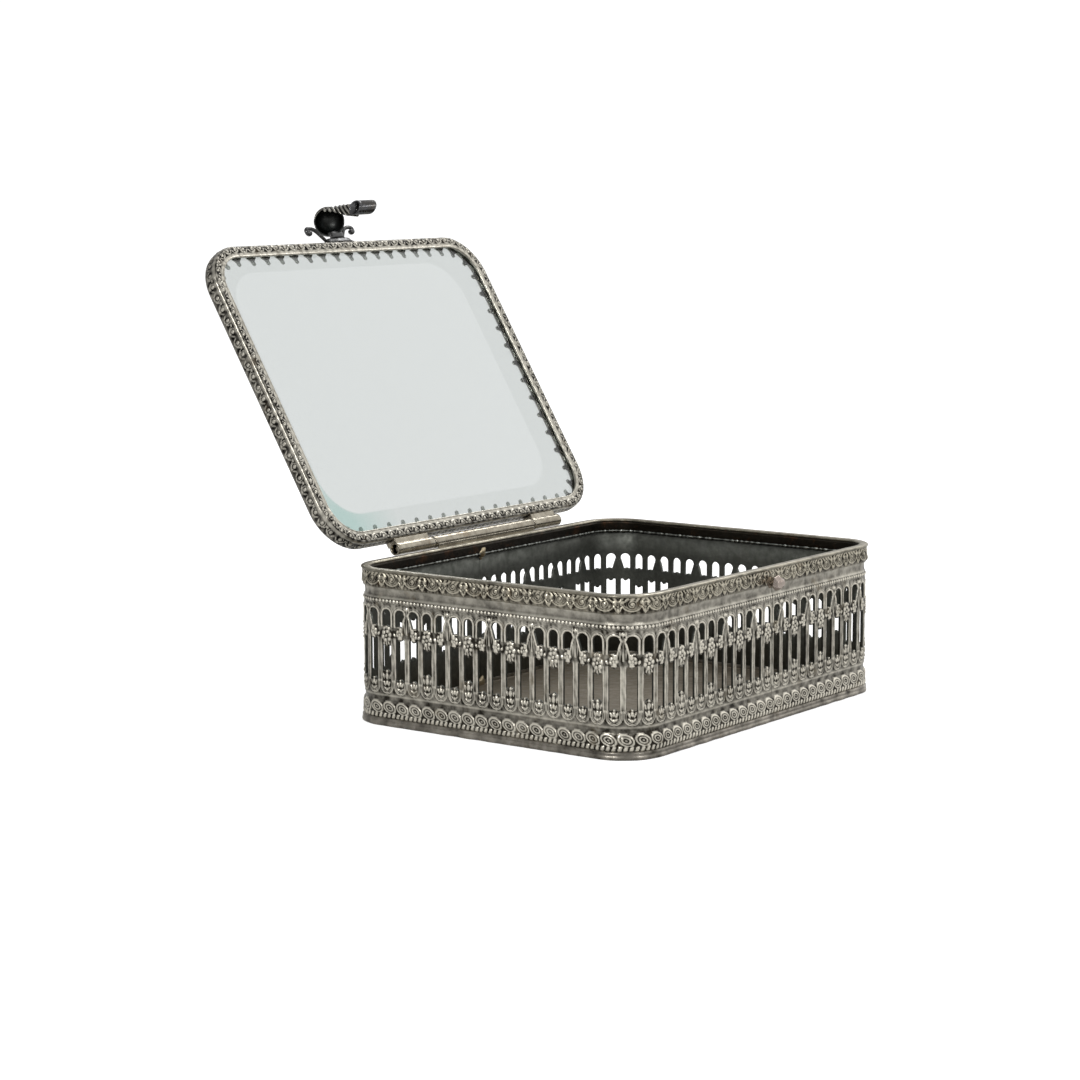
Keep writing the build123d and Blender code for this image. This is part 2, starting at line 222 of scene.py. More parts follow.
def profile_normals(profile):
    """Outward unit normals of a loop of (out, up) pairs that runs clockwise."""
    along = np.roll(profile, -1, 0) - np.roll(profile, 1, 0)
    normal = np.stack([along[:, 1], -along[:, 0]], -1)
    area = np.sum(profile[:, 0] * np.roll(profile[:, 1], -1) - np.roll(profile[:, 0], -1) * profile[:, 1])
    normal *= np.sign(area)
    return normal / np.maximum(np.linalg.norm(normal, axis=1, keepdims=True), 1e-9)


def add_tube(name, path, radius, sides=16, squash=1.0):
    """Round or flattened rod along a path of points, closed at both ends."""
    path = np.asarray(path, float)
    radius = np.broadcast_to(np.asarray(radius, float), len(path))
    tangent = np.gradient(path, axis=0)
    tangent /= np.linalg.norm(tangent, axis=1, keepdims=True)
    side = np.cross(tangent[0], (0.3, 0.5, 0.8))
    rings = []
    for k in range(len(path)):
        side = side - tangent[k] * np.dot(side, tangent[k])
        side /= np.linalg.norm(side)
        other = np.cross(tangent[k], side)
        a = np.linspace(0, 2 * pi, sides, endpoint=False)[:, None]
        rings.append(path[k] + radius[k] * (np.cos(a) * side + squash * np.sin(a) * other))
    points = np.concatenate(rings + [path[:1], path[-1:]])
    faces = grid_faces(len(path), sides, False, True)
    last = len(path) * sides
    for k in range(sides):
        faces.append([last, (k + 1) % sides, k])
        faces.append([last + 1, last - sides + k, last - sides + (k + 1) % sides])
    return add_mesh(name, points, faces)


def smooth_path(points, count):
    """Catmull-Rom curve through given points."""
    p = np.asarray(points, float)
    p = np.concatenate([2 * p[:1] - p[1:2], p, 2 * p[-1:] - p[-2:-1]])
    t = np.linspace(0, len(p) - 3 - 1e-9, count)
    k = t.astype(int)
    f = (t - k)[:, None]
    a, b, c, d = p[k], p[k + 1], p[k + 2], p[k + 3]
    curve = 2 * b + (c - a) * f + (2 * a - 5 * b + 4 * c - d) * f ** 2 + (3 * b - a - 3 * c + d) * f ** 3
    return 0.5 * curve


def add_turned(name, centre, axis, side, profile, segments=48, wobble=None):
    """Solid of revolution: profile is (along, radius) pairs about an axis."""
    profile = np.asarray(profile, float)
    axis, side = (np.asarray(v, float) / np.linalg.norm(v) for v in (axis, side))
    other = np.cross(axis, side)
    a = np.linspace(0, 2 * pi, segments, endpoint=False)[:, None]
    radius = profile[None, :, 1]
    if wobble is not None:
        radius = radius * wobble(a, profile[None, :, 0], radius)
    points = (
        np.asarray(centre)
        + profile[None, :, :1] * axis
        + (radius * np.cos(a))[..., None] * side
        + (radius * np.sin(a))[..., None] * other
    )
    closed = np.allclose(profile[0], profile[-1])
    if closed:
        points = points[:, :-1]
    faces = grid_faces(segments, points.shape[1], True, closed)
    return add_mesh(name, points, faces)


def add_plate(name, corners, bevel):
    """Box between two corners given as lid or box points, with rounded edges."""
    faces = [[0, 1, 3, 2], [4, 6, 7, 5], [0, 4, 5, 1], [2, 3, 7, 6], [0, 2, 6, 4], [1, 5, 7, 3]]
    piece = add_mesh(name, corners, faces, smooth=True)
    finish_edges(piece, bevel)
    return piece


def finish_edges(piece, width, segments=3, angle=40):
    """Round the sharp edges of a piece and keep its flats flat."""
    bevel = piece.modifiers.new("edges", "BEVEL")
    bevel.width = width * MM
    bevel.segments = segments
    bevel.angle_limit = radians(angle)
    bevel.harden_normals = True
    apply_modifiers(piece)


def apply_modifiers(piece):
    """Make the modifiers' result the mesh."""
    depsgraph = bpy.context.evaluated_depsgraph_get()
    piece.data = bpy.data.meshes.new_from_object(piece.evaluated_get(depsgraph))
    piece.modifiers.clear()


# ---------------------------------------------------------------- relief

def ridge(distance, width):
    """Rounded line: 1 where distance is 0, falling to 0 at width."""
    return np.clip(1 - (distance / width) ** 2, 0, 1)


def bump(a, b, half_a, half_b, turn=0.0):
    """Rounded oval boss."""
    ca, sa = cos(radians(turn)), sin(radians(turn))
    return np.clip(1 - ((a * ca + b * sa) / half_a) ** 2 - ((b * ca - a * sa) / half_b) ** 2, 0, 1) ** 0.7


def between(z, low, high, soft=0.2):
    """1 between low and high, with soft edges."""
    return np.clip((z - low) / soft + 0.5, 0, 1) * np.clip((high - z) / soft + 0.5, 0, 1)


def rosette(a, b, radius, petals, turn=0.0):
    """Flower with a round boss in the middle."""
    r = np.hypot(a, b)
    angle = np.arctan2(b, a) * petals + turn
    leaf = ridge(r - 0.66 * radius, 0.40 * radius) * (0.35 + 0.65 * np.cos(angle / 2) ** 2)
    return np.maximum(leaf, ridge(r, 0.34 * radius))


WAVES = 14


def hammered(s, z, scale, seed):
    """Soft unevenness that repeats round the box."""
    waves = np.random.default_rng(seed)
    total = np.zeros(np.broadcast(s, z).shape)
    most = int(PERIMETER / scale)
    for _ in range(WAVES):
        waves.integers(-1, 2)  # passed over, so that the waves stay as they are
        turns = waves.integers(int(PERIMETER / scale / 3), most + 2)
        slant, phase = waves.uniform(-2, 2), waves.uniform(0, 2 * pi)
        total += np.sin(2 * pi * turns * s / PERIMETER + slant * z / scale + phase)
    return total / WAVES ** 0.5


def from_unit_middle(s):
    """Distance from the middle of the nearest pattern unit, and from the nearest slot."""
    u = (s - UNIT_SHIFT + UNIT / 2) % UNIT - UNIT / 2
    v = (u + SLOT_PITCH / 2) % SLOT_PITCH - SLOT_PITCH / 2
    return u, v


def openings(s, z):
    """Distance to the nearest opening's edge, negative inside the opening."""
    u, v = from_unit_middle(s)
    short = np.abs(u) < SLOT_PITCH / 2
    top = np.where(short, SHORT_SLOT[1], LONG_SLOT[1])
    top = top - 0.45 * ridge(v, 0.75) + 0.18 * ridge(np.abs(v) - 1.05, 0.4)
    foot = np.where(short, SHORT_SLOT[0], LONG_SLOT[0])
    foot = foot + 0.45 * ridge(v, 0.7) - 0.15 * ridge(np.abs(v) - 1.1, 0.4)
    slot = np.maximum(np.abs(v) - SLOT_HALF, np.maximum(foot - z, z - top))
    spring = ARCH[1] - ARCH_HALF
    arch_foot = ARCH[0] + 0.3 * ridge(v, 0.6)
    mid = np.where(z > spring, np.hypot(u, z - spring) - ARCH_HALF, np.abs(u) - ARCH_HALF)
    mid = np.maximum(mid, arch_foot - z)
    a = np.abs(u)
    slope = (SIDE_ARCH_TOP - SIDE_ARCH_FOOT) / (spring - ARCH[0])
    far = SIDE_ARCH_FOOT + slope * (np.minimum(z, spring) - ARCH[0])
    centre, half = (SIDE_ARCH_NEAR + SIDE_ARCH_TOP) / 2, (SIDE_ARCH_TOP - SIDE_ARCH_NEAR) / 2
    crown = np.hypot((a - centre) * ARCH_HALF / half, z - spring) - ARCH_HALF
    side = np.where(z > spring, crown, np.maximum(SIDE_ARCH_NEAR - a, (a - far) / np.hypot(1, slope)))
    side = np.maximum(side, ARCH[0] + 0.2 * ridge(a - 4.4, 0.7) - z)
    return np.minimum(slot, np.minimum(mid, side))


def foot_moulding(s, z):
    """Row of leaning double ovals above a row of short ribs."""
    pitch = PERIMETER / 93
    a = (s % pitch) - pitch / 2 - 0.45 * (z - 5.45)
    r = np.hypot(a / 2.28, (z - 5.45) / 1.75)
    ovals = 0.28 * (ridge(r - 0.86, 0.17) + ridge(r - 0.47, 0.15)) + 0.26 * ridge(r, 0.20)
    ovals = ovals * between(z, 3.9, 7.2)
    rib_pitch = pitch / 3
    b = ((s + 0.35 * (z - 3.5)) % rib_pitch) - rib_pitch / 2
    ribs = 0.36 * np.sqrt(ridge(b, 0.36 * rib_pitch)) * between(z, 2.6, 3.8, 0.4)
    return np.maximum(ovals, ribs)


def palmettes(u, v, z):
    """Double U round each slot's foot, with a bud and leaves inside it."""
    below = np.minimum(z - 11.7, 0)
    r = np.hypot(v, below)
    lines = 0.26 * ridge(r - 2.14, 0.20) * between(z, 9.3, 13.4)
    lines = lines + 0.20 * ridge(r - 1.66, 0.17) * between(z, 9.3, 13.0)
    short = (np.abs(u) < SLOT_PITCH / 2).astype(float)
    a = np.abs(v)
    leaves = np.maximum.reduce([
        bump(v, z - 12.55, 0.42, 0.85),
        bump(a - 0.80, z - 12.35, 0.30, 0.95, -22),
        bump(a - 0.62, z - 10.95, 0.26, 0.80, -48),
        bump(v, z - 10.75, 0.26, 0.55),
        short * bump(v, z - 14.45, 0.62, 0.98),
        short * bump(a - 1.12, z - 14.4, 0.24, 0.95, -12),
        short * bump(v, z - 15.85, 0.34, 0.42),
        (1 - short) * bump(v, z - 13.75, 0.30, 0.36),
    ])
    hollow = short * 0.25 * bump(v, z - 14.45, 0.30, 0.60)
    return lines + 0.42 * leaves * (z > 9.7) - hollow


def flowers(u, v, z):
    """Band of flowers between the slots and the arches."""
    a = np.abs(u)
    big = rosette(u, z - 26.15, 1.85, 6, pi / 2)
    crown = np.maximum(bump(a - 0.75, z - 28.3, 0.42, 0.50, 30), bump(u, z - 28.55, 0.34, 0.42))
    drops = np.maximum(bump(u, z - 23.95, 0.24, 0.62), bump(a - 0.80, z - 24.1, 0.24, 0.68, 22))
    small = rosette(a - SLOT_PITCH + 0.15, z - 27.0, 1.25, 5, 0.6)
    tuft = bump(a - SLOT_PITCH - 0.3, z - 28.45, 0.55, 0.36, 20)
    tuft = np.maximum(tuft, bump(a - SLOT_PITCH, z - 25.65, 0.9, 0.30))
    link = bump(a - 2.9, z - 26.6, 0.36, 0.60, 35)
    return 0.46 * np.maximum.reduce([big, crown, drops, small, tuft, link])


def pillars(u, v, z):
    """Slim pillars between the slots and the flared ones between the leaning arches."""
    edge = 0.22 * ridge(np.abs(v) - 1.80, 0.22) + 0.10 * ridge(np.abs(v) - SLOT_PITCH / 2, 0.22)
    slim = edge * between(z, 12.8, 25.6)
    a = UNIT / 2 - np.abs(u)
    height = np.clip((z - 26.0) / (34.0 - 26.0), 0, 1)
    half = 1.95 - 1.15 * height
    torch = 0.26 * ridge(a - half, 0.24) + 0.20 * ridge(a, 0.30) * (z > 27)
    torch = torch + 0.34 * bump(a, z - 34.25, 0.75, 0.38) + 0.18 * bump(a - half / 2, z - 29, 0.22, 1.9)
    return slim + torch * between(z, 25.4, 34.8, 0.3)


def gallery_relief(s, z):
    """Height of the stamped pattern over the wall's outer face."""
    u, v = from_unit_middle(s)
    gap = openings(s, z)
    arch_zone = between(z, 28.7, 35.4, 0.4)
    arches = 0.30 * ridge(gap - 0.34, 0.26) * arch_zone
    arches = arches + 0.10 * ridge(gap - 0.95, 0.22) * between(z, 32.0, 35.4)
    bead_pitch = PERIMETER / 350
    b = (s % bead_pitch) - bead_pitch / 2
    beads = 0.34 * np.sqrt(np.clip(1 - (b / 0.50) ** 2 - ((z - 36.1) / 0.42) ** 2, 0, 1))
    lines = 0.13 * ridge(z - 9.05, 0.24) + 0.12 * ridge(z - 36.85, 0.24) + 0.06 * ridge(z - 35.5, 0.16)
    ornate = between(z, 9.6, 35.2, 0.5)
    ground = 0.030 * hammered(s, z, 1.1, 3) * ornate + 0.014 * hammered(s, z, 5.0, 5)
    zones = [
        foot_moulding(s, z) * (z < 7.2),
        palmettes(u, v, z) * between(z, 9.3, 16.4),
        flowers(u, v, z) * between(z, 23.3, 29.1),
        pillars(u, v, z),
        arches,
        beads,
    ]
    return np.maximum.reduce(zones) + lines + ground


def gallery_swell(z):
    """Swelling foot of the gallery and the hollow bands above it and under the rim."""
    foot = 0.30 * np.clip((7.1 - z) / 1.2, 0, 1) ** 0.6
    return foot - 0.28 * np.sqrt(ridge(z - 38.1, 1.25)) - 0.16 * ridge(z - 7.9, 0.95)


def frieze_relief(s, z):
    """Swags with hanging leaves, scrolls and flowers between them, under the rim."""
    pitch = PERIMETER / 60
    a = (s % pitch) - pitch / 2
    edge = pitch / 2 - np.abs(a)
    swag_r = np.hypot(a, (z - 43.6) * 1.05)
    swag = 0.30 * ridge(swag_r - 3.15, 0.26) + 0.20 * ridge(swag_r - 2.60, 0.20)
    swag = swag * (z < 42.6)
    drop = np.maximum.reduce([
        bump(edge, z - 40.75, 0.24, 0.85),
        bump(edge - 0.55, z - 41.0, 0.22, 0.80, -28),
        bump(edge - 0.95, z - 41.6, 0.20, 0.75, -52),
    ])
    turns = np.where((s // pitch) % 2 == 0, 1.0, -1.0)
    r = np.hypot(a * 0.95, z - 42.35)
    angle = np.arctan2(z - 42.35, a * turns)
    scroll = ridge((r * 2.1 - angle / (2 * pi) * 1.2) % 1.2 - 0.6, 0.42) * ridge(r, 1.75) ** 0.4
    scroll = np.maximum(scroll * 0.8, ridge(r, 0.42))
    leaf_pitch = pitch / 5
    c = ((s + turns * 0.9 * (z - 43.6)) % leaf_pitch) - leaf_pitch / 2
    leaves = ridge(c, 0.44) * between(z, 42.9, 44.3, 0.35)
    side = np.maximum(bump(edge - 0.9, z - 42.9, 0.75, 0.55, 20), 0.8 * rosette(edge, z - 42.4, 0.9, 4))
    pattern = np.maximum.reduce([swag, 0.42 * drop, 0.40 * scroll, 0.34 * leaves, 0.40 * side])
    return pattern * between(z, 39.9, 44.4, 0.3) + 0.03 * hammered(s, z, 1.0, 11) * between(z, 39.9, 44.2)


def lid_scrolls(a, c, pitch):
    """Running row of beads, each with a curl and leaves; a runs along the frame and c across it, in mm."""
    half = pitch / 2
    a1 = (a % half) - half / 2
    turn = np.where((a // half) % 2 == 0, 1.0, -1.0)
    around = np.hypot(a1, c + 0.30)
    return np.maximum.reduce([
        bump(a1, c + 0.30, 0.56, 0.56),
        0.75 * ridge(around - 0.92, 0.16) * (a1 * turn > -0.5),
        0.80 * bump(a1 * turn - 1.15, c - 0.15, 0.22, 0.85, 42),
        0.75 * bump(a1 * turn + 1.20, c - 0.20, 0.20, 0.80, -38),
        0.70 * bump(a1 * turn - 1.62, c + 0.62, 0.26, 0.34),
        0.60 * bump(a1 * turn + 0.15, c - 0.85, 0.60, 0.18),
    ])


# ---------------------------------------------------------------- materials

class Nodes:
    """Short way to wire a material's nodes."""

    def __init__(self, name):
        self.material = bpy.data.materials.new(name)
        self.material.use_nodes = True
        self.tree = self.material.node_tree
        self.shader = self.tree.nodes["Principled BSDF"]
        self.place = self.tree.nodes.new("ShaderNodeTexCoord").outputs["Object"]

    def add(self, kind):
        return self.tree.nodes.new(kind)

    def link(self, source, target):
        self.tree.links.new(source, target)

    def noise(self, scale, detail=4.0, rough=0.55):
        node = self.add("ShaderNodeTexNoise")
        node.inputs["Scale"].default_value = scale
        node.inputs["Detail"].default_value = detail
        node.inputs["Roughness"].default_value = rough
        self.link(self.place, node.inputs["Vector"])
        return node.outputs["Fac"]

    def span(self, value, low, high, to_low=0.0, to_high=1.0):
        node = self.add("ShaderNodeMapRange")
        for key, number in (("From Min", low), ("From Max", high), ("To Min", to_low), ("To Max", to_high)):
            node.inputs[key].default_value = number
        self.link(value, node.inputs["Value"])
        return node.outputs["Result"]

    def mix(self, factor, first, second):
        node = self.add("ShaderNodeMix")
        node.data_type = "RGBA"
        for socket, value in ((node.inputs[0], factor), (node.inputs[6], first), (node.inputs[7], second)):
            if isinstance(value, bpy.types.NodeSocket):
                self.link(value, socket)
            elif isinstance(value, tuple):
                socket.default_value = (*value, 1.0)
            else:
                socket.default_value = value
        return node.outputs[2]

    def math(self, operation, first, second):
        node = self.add("ShaderNodeMath")
        node.operation = operation
        for socket, value in zip(node.inputs, (first, second)):
            if isinstance(value, bpy.types.NodeSocket):
                self.link(value, socket)
            else:
                socket.default_value = value
        return node.outputs[0]

    def relief(self):
        node = self.add("ShaderNodeAttribute")
        node.attribute_name = "relief"
        return node.outputs["Fac"]

    def bump(self, height, strength, distance):
        node = self.add("ShaderNodeBump")
        node.inputs["Strength"].default_value = strength
        node.inputs["Distance"].default_value = distance
        self.link(height, node.inputs["Height"])
        self.link(node.outputs["Normal"], self.shader.inputs["Normal"])


def aged_metal_with_painted_shade(name, bright, dark, stain, rough=(0.28, 0.46), contrast=1.0, metallic=1.0):
    """Old plated metal: painted shade darkens the hollows and a painted highlight brightens what stands out,
    both from the relief attribute, with random rubbing, stains and pits.
    """
    n = Nodes(name)
    coarse, fine, grain = n.noise(70.0), n.noise(420.0), n.noise(1900.0, 2.0)
    # painted shade and highlight: the relief attribute darkens the hollows and brightens what stands out; the
    # noises add random rubbing
    shade_and_wear = n.span(n.relief(), -0.11 / contrast, 0.15 / contrast, 0.0, 1.0)
    shade_and_wear = n.math("ADD", shade_and_wear, n.span(fine, 0.35, 0.65, -0.14, 0.14))
    shade_and_wear = n.math("ADD", shade_and_wear, n.span(coarse, 0.3, 0.7, -0.12, 0.12))
    colour = n.mix(n.span(shade_and_wear, 0.0, 1.0), dark, bright)
    spots = n.span(n.noise(150.0, 6.0, 0.7), 0.56, 0.74, 0.0, 0.75)
    colour = n.mix(spots, colour, stain)
    n.link(colour, n.shader.inputs["Base Color"])
    n.shader.inputs["Metallic"].default_value = metallic
    n.link(n.span(fine, 0.3, 0.7, rough[1], rough[0]), n.shader.inputs["Roughness"])
    n.bump(n.math("ADD", n.math("MULTIPLY", grain, 0.5), fine), 0.35, 0.00015)
    return n.material


def clear_glass():
    """Slightly cloudy clear glass, greener towards the corner at the hinge's left end."""
    n = Nodes("bevelled_glass")
    corner = n.add("ShaderNodeVectorMath")
    corner.operation = "DISTANCE"
    corner.inputs[1].default_value = open_lid((-56.0, -9.0, 1.0)) * MM
    n.link(n.place, corner.inputs[0])
    green = n.span(corner.outputs["Value"], 0.006, 0.026, 1.0, 0.0)
    bevel = n.mix(green, (0.66, 0.695, 0.68), (0.28, 0.52, 0.46))
    tint = n.mix(n.span(n.relief(), 0.90, 0.985), bevel, (0.785, 0.82, 0.81))
    n.link(tint, n.shader.inputs["Base Color"])
    n.shader.inputs["Transmission Weight"].default_value = 1.0
    n.shader.inputs["IOR"].default_value = 1.45
    n.link(n.span(n.noise(24.0, 3.0), 0.3, 0.7, 0.0, 0.012), n.shader.inputs["Roughness"])
    return n.material


def matt(name, colours, scale, rough):
    """Plain surface with two mixed tones."""
    n = Nodes(name)
    n.link(n.mix(n.noise(scale), *colours), n.shader.inputs["Base Color"])
    n.shader.inputs["Roughness"].default_value = rough
    return n.material


SILVER = aged_metal_with_painted_shade(
    "antique_silver", (0.74, 0.70, 0.60), (0.026, 0.023, 0.018), (0.20, 0.165, 0.11), contrast=1.15)
SMOOTH_SILVER = aged_metal_with_painted_shade(
    "rim_silver", (0.54, 0.50, 0.40), (0.020, 0.017, 0.013), (0.16, 0.115, 0.065), contrast=1.2)
BASE_SILVER = aged_metal_with_painted_shade("base_silver", (0.56, 0.52, 0.45), (0.03, 0.026, 0.02), (0.05, 0.032, 0.020))
LID_SILVER = aged_metal_with_painted_shade(
    "lid_silver", (0.50, 0.475, 0.41), (0.007, 0.006, 0.005), (0.12, 0.095, 0.065), contrast=2.0)
INSIDE = aged_metal_with_painted_shade(
    "inside_metal", (0.19, 0.195, 0.175), (0.055, 0.058, 0.05), (0.08, 0.08, 0.068), (0.42, 0.60))
LINER = aged_metal_with_painted_shade(
    "liner_metal", (0.05, 0.042, 0.032), (0.012, 0.010, 0.008), (0.12, 0.055, 0.025), (0.30, 0.50))
FLOOR = aged_metal_with_painted_shade(
    "floor_metal", (0.27, 0.235, 0.18), (0.15, 0.125, 0.09), (0.11, 0.09, 0.06), (0.45, 0.62), metallic=0.5)
HINGE_METAL = aged_metal_with_painted_shade(
    "hinge_metal", (0.50, 0.465, 0.385), (0.13, 0.11, 0.08), (0.16, 0.11, 0.06), (0.14, 0.28))
PRONG_METAL = aged_metal_with_painted_shade("prong_metal", (0.42, 0.43, 0.39), (0.18, 0.185, 0.165), (0.20, 0.19, 0.16))
GUNMETAL = aged_metal_with_painted_shade(
    "gunmetal", (0.13, 0.13, 0.128), (0.035, 0.035, 0.036), (0.055, 0.05, 0.04), (0.22, 0.38))
# painted shade: the shell is darker than the clasp's gunmetal, for the shade in its hollow
SHELL_METAL_PAINTED_SHADE = aged_metal_with_painted_shade(
    "shell_metal_painted_shade", (0.07, 0.072, 0.068), (0.012, 0.013, 0.013), (0.03, 0.04, 0.04), (0.26, 0.44))
FLUTED = aged_metal_with_painted_shade(
    "fluted_metal", (0.40, 0.385, 0.34), (0.015, 0.015, 0.014), (0.14, 0.12, 0.09), (0.22, 0.36))
ROLL_METAL = aged_metal_with_painted_shade(
    "roll_metal", (0.17, 0.17, 0.175), (0.05, 0.05, 0.052), (0.12, 0.10, 0.07), (0.20, 0.32))
STUD_METAL = aged_metal_with_painted_shade(
    "stud_metal", (0.66, 0.58, 0.52), (0.22, 0.17, 0.14), (0.16, 0.09, 0.06), (0.10, 0.20))
SOLDER = aged_metal_with_painted_shade("solder", (0.36, 0.375, 0.35), (0.10, 0.105, 0.095), (0.30, 0.30, 0.26), (0.28, 0.45))
BRASS_SOLDER = aged_metal_with_painted_shade("brass_solder", (0.55, 0.47, 0.32), (0.20, 0.16, 0.10), (0.14, 0.10, 0.06))
GLASS = clear_glass()


def dress(piece, material, body, slot, *nodes):
    """Give a piece its material and its body, and hide the CAD nodes that it stands for; slot is not used."""
    if not piece.data.materials:
        piece.data.materials.append(material)
    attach(piece, body)
    if nodes:
        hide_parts(*nodes)
    return piece


# ---------------------------------------------------------------- gallery

def spaced(*stretches):
    """Heights from stretches of (end, step), starting at the first number."""
    heights = [stretches[0]]
    for end, step in stretches[1:]:
        count = max(1, round((end - heights[-1]) / step))
        heights += list(np.linspace(heights[-1], end, count + 1)[1:])
    return np.array(heights)


SEAM_GAP = 0.07
COLUMNS_PER_UNIT = 54
ROWS = spaced(2.0, (7.0, 0.25), (9.4, 0.48), (13.0, 0.27), (16.4, 0.30), (23.0, 0.66), (28.8, 0.29),
              (34.8, 0.29), (36.9, 0.23), (39.7, 0.56), (44.2, 4.5))


def pierced_grid(first_s):
    """Grid over one half of the gallery, its points near an opening moved on to its edge."""
    count = COLUMNS_PER_UNIT * UNITS // 2
    s = np.linspace(first_s + SEAM_GAP, first_s + PERIMETER / 2 - SEAM_GAP, count + 1)
    s, z = (np.array(v) for v in np.broadcast_arrays(s[:, None], ROWS[None, :]))
    gap = openings(s, z)
    e = 0.01
    slope_s = (openings(s + e, z) - openings(s - e, z)) / (2 * e)
    slope_z = (openings(s, z + e) - openings(s, z - e)) / (2 * e)
    steep = np.maximum(np.hypot(slope_s, slope_z), 1e-6)
    cell = np.abs(slope_s) * UNIT / COLUMNS_PER_UNIT + np.abs(slope_z) * np.gradient(ROWS)[None, :]
    reach = 0.55 * cell / steep
    near = np.abs(gap) < reach
    s = np.where(near, s - gap * slope_s / steep, s)
    z = np.where(near, z - gap * slope_z / steep, z)
    gap = np.where(near, 0.0, gap)
    return s, z, gap


def metal_cells(s, z, gap, rows):
    """Faces of the grid that are metal, using only the given rows, as lists of (column, row)."""
    faces = []
    solid = gap >= 0
    for low, high in zip(rows[:-1], rows[1:]):
        corners = [(0, low), (1, low), (1, high), (0, high)]
        columns = s.shape[0] - 1
        held = np.stack([solid[c:columns + c, r] for c, r in corners], -1)
        mid_s = sum(s[c:columns + c, r] for c, r in corners) / 4
        mid_z = sum(z[c:columns + c, r] for c, r in corners) / 4
        clear = openings(mid_s, mid_z) > -0.02
        for i in np.nonzero((held.sum(-1) >= 3) & clear)[0]:
            faces.append([(int(i) + c, r) for k, (c, r) in enumerate(corners) if held[i, k]])
    return faces


def is_plain(z):
    """Whether a height is clear of all openings, so that the inner side needs no row there."""
    return z < LONG_SLOT[0] - 1.0 or LONG_SLOT[1] + 1.2 < z < ARCH[0] - 0.8 or z > ARCH[1] + 0.8


def add_gallery(name, first_s):
    """One U-shaped half of the gallery as a closed sheet with its stamped relief."""
    s, z, gap = pierced_grid(first_s)
    all_rows = list(range(len(ROWS)))
    inner_rows = [r for r in all_rows if r in (0, len(ROWS) - 1) or not is_plain(ROWS[r])]
    outer = metal_cells(s, z, gap, all_rows)
    inner = metal_cells(s, z, gap, inner_rows)
    pattern = gallery_relief(s, z)
    lift = pattern + gallery_swell(z)
    used = sorted({corner for face in outer for corner in face})
    used_inner = sorted({corner for face in inner for corner in face})
    number = {corner: k for k, corner in enumerate(used)}
    number_inner = {corner: k + len(used) for k, corner in enumerate(used_inner)}
    i, j = np.array(used).T
    front = on_wall(s[i, j], lift[i, j], z[i, j])
    i2, j2 = np.array(used_inner).T
    back = on_wall(s[i2, j2], -SHEET, z[i2, j2])
    faces = [[number[c] for c in face] for face in outer]
    faces += [[number_inner[c] for c in reversed(face)] for face in inner]
    outer_count = len(outer)
    borders = {}
    for face in outer:
        for a, b in zip(face, face[1:] + face[:1]):
            borders[(a, b)] = borders.get((b, a), 0) + 1
            if (b, a) in borders:
                del borders[(a, b)], borders[(b, a)]
    last = s.shape[0] - 1
    for a, b in borders:
        if a in number_inner and b in number_inner and not (a[0] == b[0] and a[0] in (0, last)):
            faces.append([number[b], number[a], number_inner[a], number_inner[b]])
    for column in (0, last):
        for low, high in zip(inner_rows[:-1], inner_rows[1:]):
            strip = [number[(column, r)] for r in range(low, high + 1)]
            strip += [number_inner[(column, high)], number_inner[(column, low)]]
            faces.append(strip if column == 0 else strip[::-1])
    # relief attribute: how far the pattern stands out, from which the silver paints shade in the hollows and
    # a highlight on the crests
    relief = np.concatenate([standing_out(pattern)[i, j], np.zeros(len(used_inner))])
    piece = add_mesh(name, np.concatenate([front, back]), faces, relief)
    piece.data.materials.append(SILVER)
    piece.data.materials.append(INSIDE)
    inside = np.zeros(len(piece.data.polygons), np.int32)
    inside[outer_count:] = 1
    piece.data.polygons.foreach_set("material_index", inside)
    return piece


def build_gallery():
    """Left and right stamped strips, meeting at the front and back seams."""
    seam = UNIT_SHIFT - UNIT / 6
    for name, first in (("gallery_left", seam), ("gallery_right", seam + PERIMETER / 2)):
        dress(add_gallery(name + "_sheet", first), SILVER, "box", "pewter", name)


# ---------------------------------------------------------------- rim, base and floor

